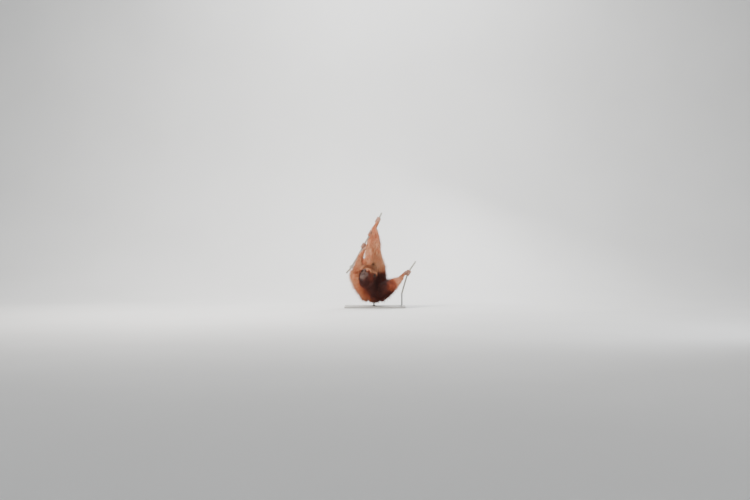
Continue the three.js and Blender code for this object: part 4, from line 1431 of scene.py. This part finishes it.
def rope_finish():
    f = Finish("rope_finish", Roughness=0.85, Specular_IOR_Level=0.2, Sheen_Weight=0.2, Sheen_Roughness=0.6)
    yarn = f.noise(90, 4, 0.6, stretch=(1, 1, 3.5))
    fibre = f.noise(700, 4, 0.7)
    soil = f.noise(14, 3)
    clean = f.shades(yarn, (0.25, tint(140, 138, 128)), (0.75, tint(206, 204, 192)))
    soiled = f.node("ShaderNodeMapRange", None, soil, 0.45, 0.75, 0.0, 0.55)
    f.feed("Base Color", f.mix(soiled, clean, tint(128, 112, 92)))
    f.bump(yarn * 1.2 + fibre * 0.8, 0.6, 0.0015)
    return f


def base_finish():
    f = Finish("base_finish", Roughness=0.42)
    grain = f.noise(240, 4)
    f.feed("Base Color", f.shades(f.noise(5, 3), (0.2, tint(150, 148, 143)), (0.8, tint(166, 163, 158))))
    f.feed("Roughness", grain * 0.2 + 0.36)
    f.bump(grain, 0.12, 0.0005)
    return f


def rod_finish():
    f = Finish("rod_finish", Metallic=1.0)
    brushed = f.noise(60, 4, 0.6, stretch=(18, 18, 0.6))
    f.feed("Base Color", f.shades(brushed, (0.3, tint(150, 150, 150)), (0.7, tint(188, 188, 186))))
    f.feed("Roughness", brushed * 0.25 + 0.22)
    f.bump(brushed, 0.08, 0.0003)
    return f


def tone_skin():
    """Writes on the skin where it is bare, how pale its face, hands and feet are with their painted shade
    and painted highlight, and the coat's tone with its painted sunlight and shade.
    """
    co = places(skin)
    normal = read(skin.data.vertices, "normal", 3)
    owner, along = hand_of(co)
    pale, _, on_head, _ = coat_tone_and_painted_light(co, normal)
    q = to_head(co)
    bare, _, _, ear = survey_head(q)
    back = back_of_hand(co, normal, owner)
    hand_bare = (owner >= 0) * np.maximum(1 - back, ramp(along, 0.05, 0.09)) * ramp(along, 0.01, 0.04)
    bare = np.maximum(on_head * np.maximum(bare, ear), hand_bare)
    side = np.abs(q[:, 1])
    socket = np.hypot((side - 27) / 21, (q[:, 2] - EYE[2] - 1) / 11)
    bag = np.hypot((side - 30) / 17, (q[:, 2] - 2) / 7)
    nose = np.hypot(side / 16, (q[:, 2] + 22) / 10)
    # Painted shade in the eye sockets and round the nostrils; the eye bags paler.
    face = 0.38 - 0.3 * ramp(socket, 1.35, 0.5) + 0.12 * ramp(bag, 1.4, 0.4) - 0.14 * ramp(nose, 1.3, 0.5)
    # A painted highlight on the forehead; paler on the bridge of the nose between the eyes.
    face = face + 0.12 * ramp(q[:, 2], 34, 56) + 0.08 * ramp(side, 14, 4) * ramp(q[:, 2], 2, 18)
    face = face + 0.12 * ramp(q[:, 2], -20, -40) * ramp(side, 18, 40)
    face = face + 0.10 * ramp(q[:, 2], -50, -62) * ramp(q[:, 0], 80, 100)
    # Painted shade under the chin.
    face = face - 0.35 * ramp(q[:, 2], -70, -100)
    # Painted shade in the crease where the lids meet the eyeball.
    rim = np.abs(np.linalg.norm(np.column_stack((q[:, 0], side, q[:, 2])) - EYE, axis=1) - EYE_RADIUS)
    face = face - 0.3 * ramp(rim, 1.6, 0.4) * on_head
    # The ear's bowl in painted shade, paler towards its rim.
    face = face * (1 - ear) + ear * (0.12 + 0.42 * ramp(ear_spread(q), 0.3, 0.85))
    run = np.zeros(len(co))
    between = np.zeros(len(co))
    for k, grasp in enumerate(grasps.values()):
        run[owner == k], between[owner == k] = grasp.run(co[owner == k])
    # The knuckles darker, and painted shade between the digits towards their tips.
    knuckle = 0.5 + 0.5 * np.cos(run * 190)
    hand_tone = 0.96 - 0.36 * between * ramp(run, 0.045, 0.075) - 0.16 * knuckle
    write_attribute(skin.data, "face_tone", np.clip(face * on_head + hand_tone * (1 - on_head), 0, 1))
    write_attribute(skin.data, "run", run)
    write_attribute(skin.data, "bare", np.clip(bare, 0, 1))
    write_attribute(skin.data, "pale", pale)


tone_skin()
coat_finish().onto(*coat)
skin_finish().onto(skin)
eye_finish().onto(*eyes)
nail_finish().onto(nails)
rope_finish().onto(*ropes)
base_finish().onto(base)
rod_finish().onto(*rods)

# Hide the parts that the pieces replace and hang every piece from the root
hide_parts("torso", "neck", "head", "ear_left", "ear_right", *limbs, *grasps)
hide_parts("eye_left")
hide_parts("eye_right")
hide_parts("perch_rope_main")
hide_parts("perch_rope_side")
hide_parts("stand_base")
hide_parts("stand_rod_body")
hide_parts("stand_rod_rope")
for slot_name, group in (
    ("coat", coat),
    ("bare_skin", [skin, nails]),
    ("eye", eyes),
    ("rope", ropes),
    ("base_paint", [base]),
    ("rod", rods),
):
    for piece in group:
        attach(piece, "root")


FLOOR_WIDE, FLOOR_DEEP, FLOOR_AHEAD, FLOOR_BELOW = 40, 30, 10.0, 0.001
WALL_AT, WALL_HIGH, WALL_BEND = 4.5, 14, 4


def is_back(a, b):
    """Whether an edge of the sheet between these two ends lies at the back."""
    return min(a[1], b[1]) > WALL_AT


def is_bend(a, b):
    """Whether an edge between these two ends is the one where floor and wall meet."""
    return is_back(a, b) and max(a[2], b[2]) < 0.5


def backdrop():
    """Floor and backdrop in one bent sheet."""
    deselect()
    bpy.ops.mesh.primitive_plane_add(size=1, location=(0, 0, 0))
    sheet = added("studio_floor")
    sheet.scale = (FLOOR_WIDE, FLOOR_DEEP, 1)
    settle(sheet)
    put(sheet, places(sheet) + (0, -FLOOR_AHEAD, -FLOOR_BELOW))
    move = {"value": (0, 0, WALL_HIGH)}
    on_edges(sheet, is_back, bpy.ops.mesh.extrude_region_move, TRANSFORM_OT_translate=move)
    on_edges(sheet, is_bend, bpy.ops.mesh.bevel, offset=WALL_BEND, segments=16, affect="EDGES")
    smooth(sheet)
    return sheet


floor = backdrop()
paper = Finish("studio_paper", Roughness=0.9)
paper_shades = ((0.3, (0.72, 0.72, 0.71)), (0.7, (0.76, 0.76, 0.75)))
paper.feed("Base Color", paper.shades(paper.noise(0.6, 2), *paper_shades))
paper.onto(floor)


def lamp(name, place, target, size, power, colour=(1, 1, 1)):
    light = bpy.data.lights.new(name, "AREA")
    light.shape = "DISK"
    light.size = size
    light.energy = power
    light.color = colour
    obj = bpy.data.objects.new(name, light)
    bpy.context.scene.collection.objects.link(obj)
    obj.location = place
    obj.rotation_euler = (Vector(target) - Vector(place)).to_track_quat("-Z", "Y").to_euler()
    return obj


lamp("key", (-3.0, -2.2, 4.4), (0, 0, 0.6), 1.4, 420, (1.0, 0.96, 0.91))
lamp("fill", (3.6, -4.0, 2.0), (0, 0, 0.5), 3.0, 60, (0.93, 0.96, 1.0))
lamp("rim", (1.8, 2.6, 3.4), (0, 0, 0.6), 1.6, 110)
lamp("wall", (0, 1.5, 7.0), (0, 5, 2.0), 6.0, 500)
world = bpy.data.worlds.new("studio")
bpy.context.scene.world = world
world.use_nodes = True
world.node_tree.nodes["Background"].inputs[0].default_value = (0.86, 0.88, 0.9, 1)
world.node_tree.nodes["Background"].inputs[1].default_value = 0.7

# The camera stands well back and level, above the floor
camera_data = bpy.data.cameras.new("view")
camera_data.lens = 43.64
camera_data.sensor_width = 36
camera = bpy.data.objects.new("view", camera_data)
bpy.context.scene.collection.objects.link(camera)
camera.location = (0, -12, 0.756)
camera.rotation_euler = (math.radians(90), 0, 0)
bpy.context.scene.camera = camera
